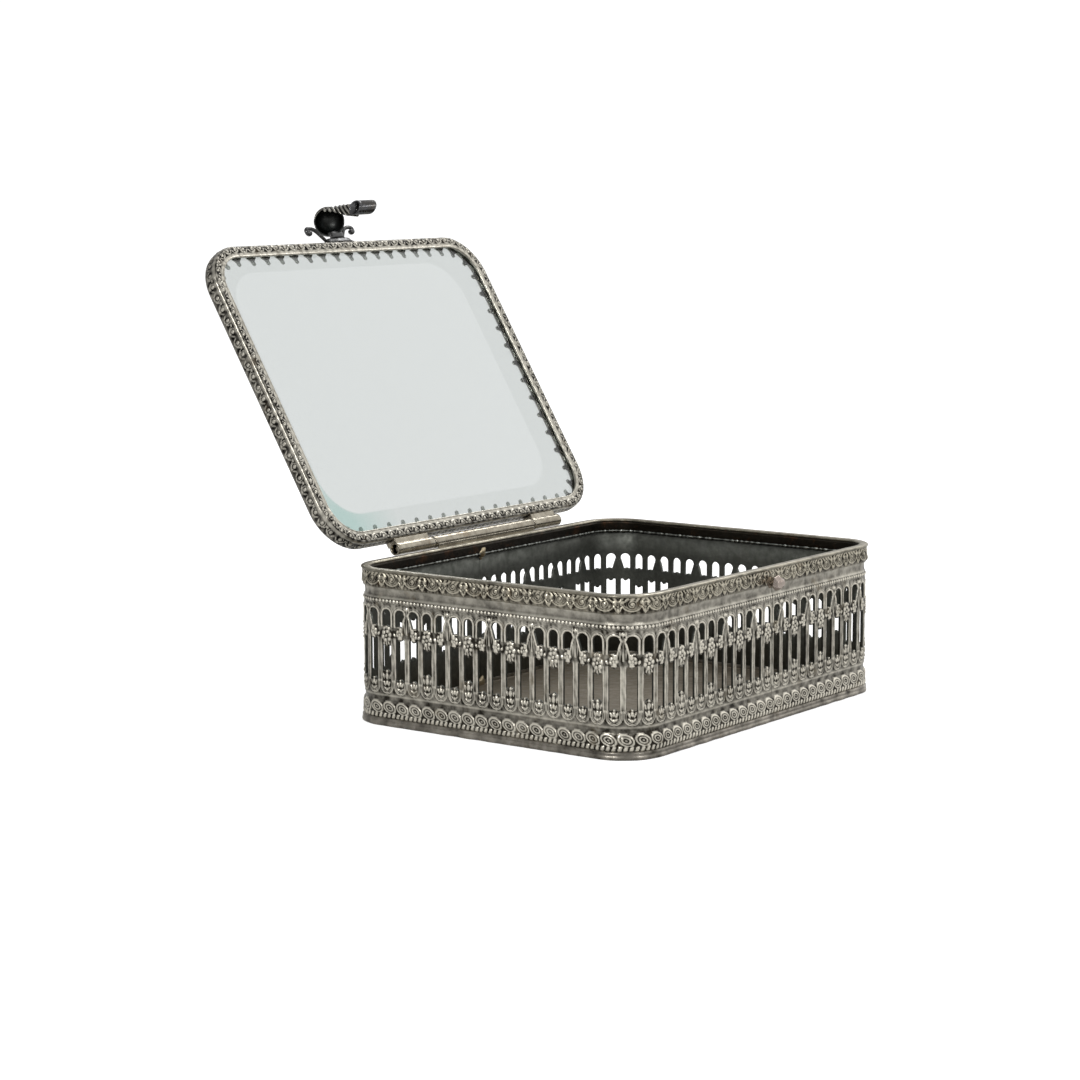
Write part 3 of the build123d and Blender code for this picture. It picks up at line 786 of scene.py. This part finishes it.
def build_rim():
    """Frieze with the rolled top, the dark liner inside it and its line of solder."""
    frieze = [(0.30 + 0.12 * sin((z - RIM_BOTTOM) * 1.2), z) for z in spaced(RIM_BOTTOM, (44.0, 0.24))]
    roll = [(0.62, 44.25), (0.84, 44.5), (0.86, 44.72), (0.62, 44.93), (0.1, 45.0), (-1.4, 45.0),
            (-1.75, 44.9), (-1.88, 44.65)]
    inner = [(-1.88, 44.3), (-0.8, 44.25), (0.0, 44.2), (0.0, 42.0), (0.0, RIM_BOTTOM)]
    profile = frieze + roll + inner

    def relief(s, points):
        z = points[None, :, 1] + 0 * s
        facing = np.zeros(len(points))
        facing[:len(frieze)] = 1.0
        facing[len(frieze):len(frieze) + len(roll)] = 0.12
        edge = 0.05 * hammered(s, 0 * z, 9.0, 21)
        return frieze_relief(s + 0 * z, z) * (facing == 1.0) + edge * facing

    # painted highlight: the roll and the inner side come out brighter than the frieze's flats
    painted_highlight = np.where(np.arange(len(profile)) < len(frieze), 0.0, 0.03)
    rim = add_loop_band("rim_frieze", on_wall, PERIMETER, 0.27, profile, relief, painted_highlight)
    dress(rim, SMOOTH_SILVER, "box", "pewter", "rim_moulding")

    liner = [(-SHEET, 44.2), (-1.86, 44.2), (-1.90, 43.6), (-1.78, 42.6), (-1.82, 41.7), (-1.70, 41.35),
             (-1.2, 41.3), (-SHEET, 41.3)]
    strip = add_loop_band("rim_liner_strip", on_wall, PERIMETER, 0.8, liner)
    dress(strip, LINER, "box", "dark_inside", "rim_liner")

    def jagged(s, points):
        size = 0.5 + 0.5 * np.clip(hammered(s, 0, 1.3, 31), -1, 1)
        flow = between(hammered(s, 0, 12.0, 33), -0.9, 3.0, 0.8)
        return (0.04 + 0.24 * size * flow) + 0 * points[None, :, 0]

    bead = [(-1.62 + 0.12 * cos(a), 41.2 + 0.16 * sin(a)) for a in np.linspace(0, 2 * pi, 8, endpoint=False)]
    dress(add_loop_band("solder_line", on_wall, PERIMETER, 0.35, bead, jagged), SOLDER, "box", "pewter")


def build_base():
    """Rolled base band and the slightly uneven floor sheet."""
    shape = [(0.05, 0.0), (0.55, 0.0), (0.85, 0.18), (0.97, 0.55), (0.94, 0.95), (0.80, 1.22), (0.74, 1.4),
             (0.84, 1.62), (0.86, 1.95), (0.70, 2.25), (0.40, 2.4), (0.0, 2.4), (0.0, 1.2)]

    def dents(s, points):
        rolled = (points[None, :, 0] > 0.5).astype(float)
        return (0.05 * hammered(s, points[None, :, 1], 7.0, 41) - 0.06) * rolled

    band = add_loop_band("base_band_roll", on_wall, PERIMETER, 0.6, shape, dents)
    dress(band, BASE_SILVER, "box", "pewter", "base_band")

    rings, count = 26, 240
    s = np.linspace(0, PERIMETER, count, endpoint=False)
    edge = on_wall(s, -0.02, FLOOR_TOP)
    points = []
    for k in range(rings + 1):
        share = 1 - k / rings
        ring = edge * (share, share, 1)
        wave = 0.12 * np.sin(ring[:, 0] / 14) * np.sin(ring[:, 1] / 11 + 1) * min(1, 4 * (1 - share))
        ring[:, 2] = FLOOR_TOP - 0.14 + wave
        points.append(ring)
    top = grid_faces(rings + 1, count, False, True)
    bottom = edge * (1, 1, 0)
    points = np.concatenate(points + [bottom])
    base = (rings + 1) * count
    sides = [[k, base + k, base + (k + 1) % count, (k + 1) % count] for k in range(count)]
    faces = [face[::-1] for face in top] + [face[::-1] for face in sides] + [[base + k for k in range(count)]]
    dress(add_mesh("floor_sheet", points, faces), FLOOR, "box", "floor_metal", "floor_plate")


def build_stud():
    """Faceted catch stud."""
    x, z = STUD_AT
    front = wall_low[1] - RIM_OUT
    rings = ((0.0, 1.9, 1.8), (0.9, 1.8, 1.6), (2.5, 2.75, 2.35), (3.7, 2.1, 1.7), (4.35, 1.2, 0.9))
    points = []
    for k, (out, half_x, half_z) in enumerate(rings):
        for c in range(6):
            a = 2 * pi * (c + 0.5 * (k % 2)) / 6 + 0.2
            points.append((x + half_x * cos(a), front + 0.25 - out, z + half_z * sin(a)))
    faces = grid_faces(len(rings), 6, False, True) + end_caps(len(rings), 6)
    stud = add_mesh("catch_stud_facets", points, faces, smooth=False)
    finish_edges(stud, 0.14, 2, 12)
    dress(stud, STUD_METAL, "box", "stud_metal", "catch_stud")


def add_blob(name, centre, size, seed):
    """Lump of solder."""
    waves = np.random.default_rng(seed)
    phase = waves.uniform(0, 2 * pi, 6)
    profile = [(cos(t) * size[1], sin(t)) for t in np.linspace(0.02, pi - 0.02, 15)]

    def uneven(a, along, radius):
        lumps = 0.14 * np.sin(3 * a + phase[0] + along) + 0.10 * np.sin(5 * a + phase[1] - 2 * along)
        return size[0] * (1 + lumps)

    return add_turned(name, centre, (0, 1, 0.1), (1, 0, 0), profile, 24, uneven)


def build_solder():
    """Lumps of solder at the back seam, under the rim and at the floor."""
    seam_x = UNIT_SHIFT - UNIT / 6
    inside = wall_high[1] - SHEET
    for k, (z, wide, deep) in enumerate(((41.6, 1.5, 0.7), (1.6, 1.6, 0.8), (39.9, 0.7, 0.35))):
        centre = (seam_x + 0.2 * k, inside - 0.1 - 0.9 * (z > 41), z)
        blob = add_blob(f"seam_solder_{k + 1}", centre, (wide, deep), 50 + k)
        dress(blob, BRASS_SOLDER, "box", "pewter")


# ---------------------------------------------------------------- hinge

def add_knuckle(name, first, last, axes):
    """Thin-walled rolled tube with rolled-over ends and the open joint of the rolled sheet."""
    bore, middle = KNUCKLE_BORE, (KNUCKLE_R + KNUCKLE_BORE) / 2
    end = [(1.5, bore), (0.06, bore + 0.06), (0.0, middle), (0.06, KNUCKLE_R - 0.10), (0.25, KNUCKLE_R)]
    stations = list(np.linspace(first + 1.2, last - 1.2, max(3, int(last - first))))
    outer = [(x, KNUCKLE_R - 0.02 - 0.02 * sin(x * 1.7)) for x in stations]
    profile = [(first + x, r) for x, r in end] + outer + [(last - x, r) for x, r in reversed(end)]
    profile.append(profile[0])

    def rolled(a, along, radius):
        groove = 0.10 * np.exp(-((np.angle(np.exp(1j * (a - 4.2)))) / 0.05) ** 2)
        return 1 - groove * (radius > 1.6)

    return add_turned(name, (0, HINGE[1], HINGE[2]), (1, 0, 0), axes, profile, 72, rolled)


def add_tab(name, first, last, low, high, place):
    """Tab or leaf of sheet between two corners (across, up) seen along the hinge."""
    corners = [(x, y, z) for x in (first, last) for y in (low[0], high[0]) for z in (low[1], high[1])]
    points = [place(np.array(corner)) for corner in corners]
    return add_plate(name, np.array(points), 0.15)


def build_hinge():
    """Box knuckle with its leaf and the lid's two knuckles with their tabs; the pin gets the hinge metal."""
    from_hinge = lambda p: p + HINGE * (0, 1, 1)
    e = KNUCKLE_ENDS
    centre = add_knuckle("centre_knuckle_tube", e[1] + 0.12, e[2] - 0.12, (0, 0, 1))
    leaf = add_tab("box_leaf", e[1] + 1, e[2] - 1, (-2.1, -6.2), (-1.5, -0.3), from_hinge)
    dress(centre, HINGE_METAL, "box", "hinge_metal", "hinge_knuckle_centre")
    dress(leaf, HINGE_METAL, "box", "hinge_metal")
    for side, first, last in (("left", e[0], e[1] - 0.12), ("right", e[2] + 0.12, e[3])):
        tube = add_knuckle(f"{side}_knuckle_tube", first, last, LID_AXES[2])
        tab = add_tab(f"{side}_lid_tab", first + 1, last - 1, (-3.0, -0.9), (-1.4, 2.9), open_lid)
        dress(tube, HINGE_METAL, "lid", "hinge_metal", f"hinge_knuckle_{side}")
        dress(tab, HINGE_METAL, "lid", "hinge_metal")
    frame["nodes"]["hinge_pin"].data.materials.clear()
    frame["nodes"]["hinge_pin"].data.materials.append(HINGE_METAL)


# ---------------------------------------------------------------- lid

LID_PERIMETER = 2 * sum(LID_SIZE) - 8 * LID_RADIUS + 2 * pi * LID_RADIUS


def build_frame():
    """Embossed channel frame: scrolls on its underside face and its side, and a bead at the inner edge
    brightened by a painted highlight.
    """
    bead = [(3.98, 0.95), (4.0, 0.60), (3.95, 0.30), (3.78, 0.16), (3.62, 0.22), (3.52, 0.36)]
    face = [(inset, 0.36 - 0.10 * ridge(inset - 1.9, 1.2)) for inset in np.linspace(3.4, 0.92, 13)]
    corner = [(0.85 - 0.72 * sin(a), 1.05 - 0.80 * cos(a)) for a in np.linspace(0.15, 1.42, 5)]
    side = [(0.24 - 0.10 * ridge(up - 3.0, 2.0), up) for up in np.linspace(1.25, 4.45, 14)]
    top = [(0.30, 4.8), (0.55, 5.15), (0.95, 5.36), (1.5, 5.38), (1.95, 5.25), (2.0, 4.9), (2.0, 2.6),
           (2.0, 1.22), (3.0, 1.2), (3.85, 1.18)]
    profile = np.array(bead + face + corner + side + top)
    first_side = len(bead) + len(face) + len(corner)
    pitch = LID_PERIMETER / 58

    def relief(s, points):
        lift = np.zeros((len(s), len(points)))
        on_face = slice(len(bead), len(bead) + len(face))
        across = points[None, on_face, 0] - 1.80
        scrolls = 0.38 * lid_scrolls(s + 0 * across, across, pitch) * between(across, -0.95, 1.0, 0.3)
        lift[:, on_face] = scrolls + 0.12 * ridge(across + 1.0, 0.16)
        on_side = slice(first_side, first_side + len(side))
        across = points[None, on_side, 1] - 2.9
        scrolls = 0.28 * lid_scrolls(s + 2.1, across * 0.8, pitch)
        lift[:, on_side] = scrolls * between(across, -1.3, 1.3, 0.4)
        lift[:, :first_side + len(side)] += 0.02 * hammered(s, 0, 2.0, 61)
        return lift

    # painted highlight: the bead and the rounded corner between face and side get a higher relief value and
    # come out brighter
    edges = np.zeros(len(profile))
    edges[:len(bead) + 4] = 0.07
    edges[first_side - 3:first_side + 1] = 0.06
    frame_piece = add_loop_band("lid_frame_embossed", on_lid, LID_PERIMETER, 0.28, profile, relief, edges)
    dress(frame_piece, LID_SILVER, "lid", "lid_metal", "lid_frame")


def build_glass():
    """Bevelled glass plate."""
    count = 320
    s = np.linspace(0, LID_PERIMETER, count, endpoint=False)
    low, edge, top = GLASS_LOW, GLASS_LOW + GLASS_EDGE, GLASS_LOW + GLASS_THICK
    inner_size = tuple(length - 2 * (GLASS_INSET + width) for length, width in zip(LID_SIZE, BEVEL))
    inner_radius = 13.0
    x, y, _, _ = outline(inner_size, inner_radius, matched_steps(s, inner_size, inner_radius))
    flat_middle = FLAT_SHIFT[1] - LID_BACK - LID_SIZE[1] / 2
    inner = open_lid(np.stack([x + FLAT_SHIFT[0], y + flat_middle, 0 * x + top - LID_UNDER], -1))
    rim = ((0.15, low), (0.0, low + 0.15), (0.0, edge - 0.1), (0.15, edge))
    rings = [on_lid(s, GLASS_INSET + inset, up) for inset, up in rim] + [inner]
    faces = grid_faces(len(rings), count, False, True) + end_caps(len(rings), count)
    flat = np.repeat([1.0, 0.0, 0.0, 0.0, 1.0], count)
    glass = add_mesh("bevelled_glass_plate", np.concatenate(rings), faces, flat, smooth=False)
    dress(glass, GLASS, "lid", "glass", "lid_glass")


def matched_steps(s, size, radius):
    """Steps along a smaller rounded rectangle that pair corner with corner of the lid's outline."""
    outer = corner_marks(LID_SIZE, LID_RADIUS)
    inner = corner_marks(size, radius)
    return np.interp(s, outer, inner)


def corner_marks(size, radius):
    """Distances along the outline at which its straights and corners start and end."""
    side_x, side_y, corner = size[0] - 2 * radius, size[1] - 2 * radius, radius * pi / 2
    return np.cumsum([0, side_x / 2, corner, side_y, corner, side_x, corner, side_y, corner, side_x / 2])


def build_prongs():
    """Serrated strip on the outer side of the glass, its leaf-shaped prongs bent down to the bevel."""
    root = FRAME_WALL + 1.0
    size = tuple(v - 2 * root for v in LID_SIZE)
    radius = LID_RADIUS - root
    length = 2 * sum(size) - 8 * radius + 2 * pi * radius
    pitch = length / PRONGS
    half = np.array([(2.20, 0.0), (2.10, 0.45), (1.75, 0.95), (1.20, 1.35), (0.85, 1.75), (0.72, 2.2),
                     (0.74, 2.7), (0.60, 3.1), (0.25, 3.35), (0.0, 3.4)])
    leaf = np.concatenate([half * (-1, 1), half[-2::-1]])
    points, faces = [], []
    for k in range(PRONGS):
        x, y, nx, ny = (v[0] for v in outline(size, radius, np.array([(k + 0.5) * pitch])))
        tangent = np.array([-ny, nx])
        start = len(points)
        for thick in (0.0, 0.35):
            for a, b in leaf:
                px, py = np.array([x, y]) + tangent * a - np.array([nx, ny]) * (b - 0.25)
                up = PRONG_AT + thick - 0.10 * (b / 4) ** 2 + 0.10 * sin(b * 1.6) * (abs(a) < 1)
                points.append((px, py - LID_BACK - LID_SIZE[1] / 2, up - LID_UNDER))
        n = len(leaf)
        faces.append([start + c for c in range(n)][::-1])
        faces.append([start + n + c for c in range(n)])
        faces += [[start + c, start + (c + 1) % n, start + n + (c + 1) % n, start + n + c] for c in range(n)]
    prongs = add_mesh("prong_leaves", open_lid(points), faces, smooth=False)
    dress(prongs, PRONG_METAL, "lid", "prong_metal", "prong_bezel")
    shape = ((2.02, -0.45), (2.05, 0.9), (2.3, 0.9), (2.5, 0.42), (3.05, 0.38), (3.15, 0.1),
             (2.6, 0.0), (2.3, -0.45))
    strip = [(inset, PRONG_AT + rise) for inset, rise in shape]
    dress(add_loop_band("prong_strip", on_lid, LID_PERIMETER, 0.9, strip), PRONG_METAL, "lid", "prong_metal")


# ---------------------------------------------------------------- clasp

def clasp_direction(x, out, up):
    """Direction given along X, out from the lid's front and up from its underside."""
    return np.array([x, -out, up], float) @ LID_AXES


def add_oval_loft(name, rings):
    """Solid through flat ovals, each given as (out, up, half width along X, half height)."""
    a = np.linspace(0, 2 * pi, 36, endpoint=False)
    points = []
    for out, up, half_x, half_up in rings:
        points.append(clasp_point(half_x * np.cos(a), out, up + half_up * np.sin(a)))
    faces = grid_faces(len(rings), len(a), False, True) + end_caps(len(rings), len(a))
    return add_mesh(name, np.concatenate(points), faces)


def build_clasp_foot():
    """Pointed plate on the lid's front edge, its flare, and a scroll arm at each side."""
    half, stations = 8.7, np.linspace(-1, 1, 35)
    a = np.linspace(0, 2 * pi, 16, endpoint=False)
    plate = []
    for share in stations:
        height = 1.75 * (1 - abs(share) ** 3) + 0.15
        out = (0.58 - 0.25 * abs(share)) * (0.5 + 0.5 * np.cos(a))
        plate.append(clasp_point(share * half, np.maximum(out, 0.03), 2.7 + height * np.sin(a)))
    faces = grid_faces(len(stations), len(a), False, True) + end_caps(len(stations), len(a), flip=True)
    foot = add_mesh("clasp_foot_plate", np.concatenate(plate), faces)
    dress(foot, GUNMETAL, "lid", "gunmetal", "clasp_foot")
    flare = ((0.3, 2.7, 8.0, 1.7), (0.65, 2.7, 7.0, 1.35), (1.1, 2.7, 6.2, 1.1), (1.6, 2.7, 5.6, 0.9),
             (2.1, 2.7, 5.2, 0.65))
    dress(add_oval_loft("clasp_foot_flare", flare), GUNMETAL, "lid", "gunmetal")
    arm = ((3.0, 0.9), (4.9, 3.7), (7.0, 6.2), (9.6, 6.9), (10.8, 6.3), (10.6, 5.3), (9.8, 5.2), (9.6, 5.9))
    t = np.linspace(0, 1, 70)
    radius = 0.52 + 0.14 * np.sin(pi * t) + 0.32 * np.exp(-((t - 0.84) / 0.16) ** 2)
    for side, name in ((-1, "left"), (1, "right")):
        path = smooth_path([clasp_point(side * x, out, 4.4) for x, out in arm], len(t))
        scroll = add_tube(f"clasp_scroll_{name}", path, radius, 16, 0.95)
        dress(scroll, GUNMETAL, "lid", "gunmetal", *(["clasp_scrolls"] if side == -1 else []))


def build_clasp_shell():
    """Round hollow shell darkened by painted shade, with its neck, a bright tube along its lip as a painted
    highlight, and the fluted band that runs to the roll.
    """
    centre = clasp_point(*SHELL_AT)
    pole = clasp_direction(sin(SHELL_TURN), 0, cos(SHELL_TURN))
    outward = clasp_direction(0, 1, 0)
    arc = np.linspace(0.02, pi / 2, 26)
    outer = [(SHELL_R * cos(a), SHELL_R * sin(a)) for a in arc]
    lip = [(-0.14, SHELL_R - 0.02), (-0.20, SHELL_R - 0.20), (-0.12, SHELL_R - 0.42)]
    inner = [((SHELL_R - 0.5) * cos(a), (SHELL_R - 0.5) * sin(a)) for a in arc[::-1]]

    def hammered_shell(a, along, radius):
        return 1 + 0.006 * np.sin(5 * a + along) + 0.005 * np.sin(9 * a - 2 * along)

    shell = add_turned("clasp_shell_cup", centre, pole, outward, outer + lip + inner, 112, hammered_shell)
    dress(shell, SHELL_METAL_PAINTED_SHADE, "clasp", "gunmetal", "clasp_shell")
    neck = ((2.34, 2.7, 3.4, 0.55), (2.8, 2.7, 3.3, 0.75), (3.4, 2.75, 3.3, 0.9), (4.3, 2.8, 3.3, 1.1))
    dress(add_oval_loft("clasp_neck", neck), GUNMETAL, "clasp", "gunmetal")
    sideways = np.cross(pole, outward)
    # painted highlight: a tube of bright metal along the top arc of the shell's edge, where the lip catches
    # the light
    angles = np.radians(np.linspace(-62, 42, 40))[:, None]
    edge = centre + (SHELL_R - 0.2) * (np.cos(angles) * outward + np.sin(angles) * sideways)
    thickness = 0.12 + 0.34 * np.sin(np.linspace(0.15, pi - 0.3, 40))
    dress(add_tube("clasp_shell_lip_highlight", edge, thickness, 12, 0.8), FLUTED, "clasp", "gunmetal")
    build_band()


def build_band():
    """Fluted band from the shell's outer edge to the roll, twisted by a quarter turn."""
    path = smooth_path([clasp_point(*place) for place in BAND_PATH], 110)
    ahead = np.gradient(path, axis=0)
    ahead /= np.linalg.norm(ahead, axis=1, keepdims=True)
    along = np.concatenate([[0], np.cumsum(np.linalg.norm(np.diff(path, axis=0), axis=1))])
    a = np.linspace(0, 2 * pi, 48, endpoint=False)
    points, lifts = [], []
    for k, place in enumerate(path):
        share = k / (len(path) - 1)
        turn = share * pi / 2
        level = np.array([1.0, 0, 0]) - ahead[k] * ahead[k][0]
        level /= np.linalg.norm(level)
        across = cos(turn) * level + sin(turn) * np.cross(ahead[k], level)
        face = np.cross(ahead[k], across)
        half = BAND_HALF[0] + share * (BAND_HALF[1] - BAND_HALF[0])
        wide = half * np.sign(np.cos(a)) * np.abs(np.cos(a)) ** 0.75
        thick = 0.52 * np.sign(np.sin(a)) * np.abs(np.sin(a)) ** 0.6
        flute = 0.26 * np.cos(2 * pi * (along[k] + 1.35 * wide) / 2.0)
        thick = thick + flute * np.sign(np.sin(a)) * np.clip(3 * np.abs(np.sin(a)), 0, 1)
        points.append(place + wide[:, None] * across + thick[:, None] * face)
        # the flutes' relief attribute, from which the metal paints shade in the grooves and a highlight on
        # the crests
        lifts.append(0.7 * flute)
    faces = grid_faces(len(path), len(a), False, True) + end_caps(len(path), len(a))
    band = add_mesh("clasp_fluted_band", np.concatenate(points), faces, np.array(lifts))
    dress(band, FLUTED, "clasp", "gunmetal")


def build_roll():
    """Rolled finger tube with a turned lip at each end."""
    end, bore = ROLL_HALF, ROLL_R - 0.45
    turned = ((-end, 0.22), (-end + 0.06, 0.03), (-end + 0.25, 0.0), (-end + 0.45, 0.04), (-end + 0.6, 0.14),
              (-end + 0.9, 0.09), (0.0, 0.07), (end - 0.4, 0.08), (end - 0.1, 0.14), (end, 0.26))
    outer = [(along, ROLL_R - depth) for along, depth in turned]
    inner = [(end - 0.1, bore), (0.0, bore), (-end + 0.1, bore), outer[0]]
    axis = clasp_direction(*ROLL_AXIS)
    roll = add_turned("clasp_roll_tube", clasp_point(*ROLL_AT), axis, LID_AXES[2], outer + inner, 80)
    dress(roll, ROLL_METAL, "clasp", "gunmetal", "clasp_roll")


# ---------------------------------------------------------------- stage

FLOOR_HALF = 9000
CAMERA_AT = (-0.6581, -0.4597, 0.1624)
CAMERA_AZIMUTH = radians(-53.38)
CAMERA_DROP = radians(8.05)
CAMERA_ROLL = radians(-0.22)
LENS = 92.1


def build_camera():
    """Camera at the photographed angle: left of the front, slightly above."""
    camera = bpy.data.objects.new("camera", bpy.data.cameras.new("camera"))
    bpy.context.scene.collection.objects.link(camera)
    camera.data.lens = LENS
    camera.data.sensor_width = 36.0
    camera.data.clip_start = 0.01
    turn = Matrix.Rotation(CAMERA_AZIMUTH, 4, "Z") @ Matrix.Rotation(pi / 2 - CAMERA_DROP, 4, "X")
    camera.matrix_world = Matrix.Translation(CAMERA_AT) @ turn @ Matrix.Rotation(CAMERA_ROLL, 4, "Z")
    bpy.context.scene.camera = camera


def add_light(name, place, target, size, power):
    """Soft rectangular light."""
    lamp = bpy.data.lights.new(name, "AREA")
    lamp.shape = "RECTANGLE"
    lamp.size, lamp.size_y = size
    lamp.energy = power
    light = bpy.data.objects.new(name, lamp)
    bpy.context.scene.collection.objects.link(light)
    light.location = place
    light.rotation_euler = (Vector(target) - Vector(place)).to_track_quat("-Z", "Y").to_euler()


def light_from_right(nodes, links):
    """World brightness that is highest towards the right and dimmer behind."""
    place = nodes.new("ShaderNodeTexCoord")
    towards = nodes.new("ShaderNodeVectorMath")
    towards.operation = "DOT_PRODUCT"
    towards.inputs[1].default_value = (0.78, -0.42, 0.47)
    above = nodes.new("ShaderNodeMath")
    above.operation = "MAXIMUM"
    above.inputs[1].default_value = 0.0
    narrow = nodes.new("ShaderNodeMath")
    narrow.operation = "POWER"
    narrow.inputs[1].default_value = 3.0
    level = nodes.new("ShaderNodeMapRange")
    level.inputs["To Min"].default_value = 0.50
    level.inputs["To Max"].default_value = 1.35
    links.new(place.outputs["Generated"], towards.inputs[0])
    links.new(towards.outputs["Value"], above.inputs[0])
    links.new(above.outputs[0], narrow.inputs[0])
    links.new(narrow.outputs[0], level.inputs["Value"])
    return level.outputs["Result"]


def seen_directly(nodes, links, unseen, seen):
    """Value that is seen where the camera looks at it directly and unseen in every reflection."""
    ray = nodes.new("ShaderNodeLightPath")
    pick = nodes.new("ShaderNodeMix")
    pick.data_type = "FLOAT"
    links.new(ray.outputs["Is Camera Ray"], pick.inputs[0])
    if isinstance(unseen, bpy.types.NodeSocket):
        links.new(unseen, pick.inputs[2])
    else:
        pick.inputs[2].default_value = unseen
    pick.inputs[3].default_value = seen
    return pick.outputs[0]


def even_through_glass(material, strength):
    """Shows the floor as one even pale field to every ray that has passed through glass."""
    nodes, links = material.node_tree.nodes, material.node_tree.links
    glow, pick = nodes.new("ShaderNodeEmission"), nodes.new("ShaderNodeMixShader")
    glow.inputs["Strength"].default_value = strength
    links.new(nodes.new("ShaderNodeLightPath").outputs["Is Transmission Ray"], pick.inputs[0])
    links.new(nodes["Principled BSDF"].outputs[0], pick.inputs[1])
    links.new(glow.outputs[0], pick.inputs[2])
    links.new(pick.outputs[0], nodes["Material Output"].inputs["Surface"])


def build_stage():
    """Pale floor and white surroundings, and soft lights from the right and the left."""
    corners = [(-1, -1), (1, -1), (1, 1), (-1, 1)]
    floor = add_mesh("floor", [(FLOOR_HALF * x, FLOOR_HALF * y, 0) for x, y in corners], [[0, 1, 2, 3]])
    paper = matt("pale_floor", ((0.78, 0.78, 0.78), (0.81, 0.81, 0.81)), 3.0, 0.9)
    shader = paper.node_tree.nodes["Principled BSDF"]
    shader.inputs["Emission Color"].default_value = (1.0, 1.0, 1.0, 1.0)
    glow = seen_directly(paper.node_tree.nodes, paper.node_tree.links, 0.0, 0.62)
    paper.node_tree.links.new(glow, shader.inputs["Emission Strength"])
    even_through_glass(paper, 0.82)
    floor.data.materials.append(paper)
    world = bpy.data.worlds.new("studio")
    world.use_nodes = True
    nodes, links = world.node_tree.nodes, world.node_tree.links
    background = nodes["Background"]
    background.inputs["Color"].default_value = (1.0, 1.0, 1.0, 1.0)
    strength = seen_directly(nodes, links, light_from_right(nodes, links), 1.05)
    links.new(strength, background.inputs["Strength"])
    bpy.context.scene.world = world
    add_light("key", (0.9, 0.25, 1.0), (0, 0, 0.04), (0.45, 0.45), 4)
    add_light("front", (-0.3, -1.3, 0.7), (0, 0, 0.04), (0.35, 0.35), 3)
    add_light("left", (-1.3, -0.1, 0.75), (0, 0, 0.04), (0.30, 0.30), 7)
    bpy.context.scene.view_settings.view_transform = "Standard"


build_camera()
build_stage()
build_gallery()
build_rim()
build_base()
build_stud()
build_solder()
build_hinge()
build_frame()
build_glass()
build_prongs()
build_clasp_foot()
build_clasp_shell()
build_roll()
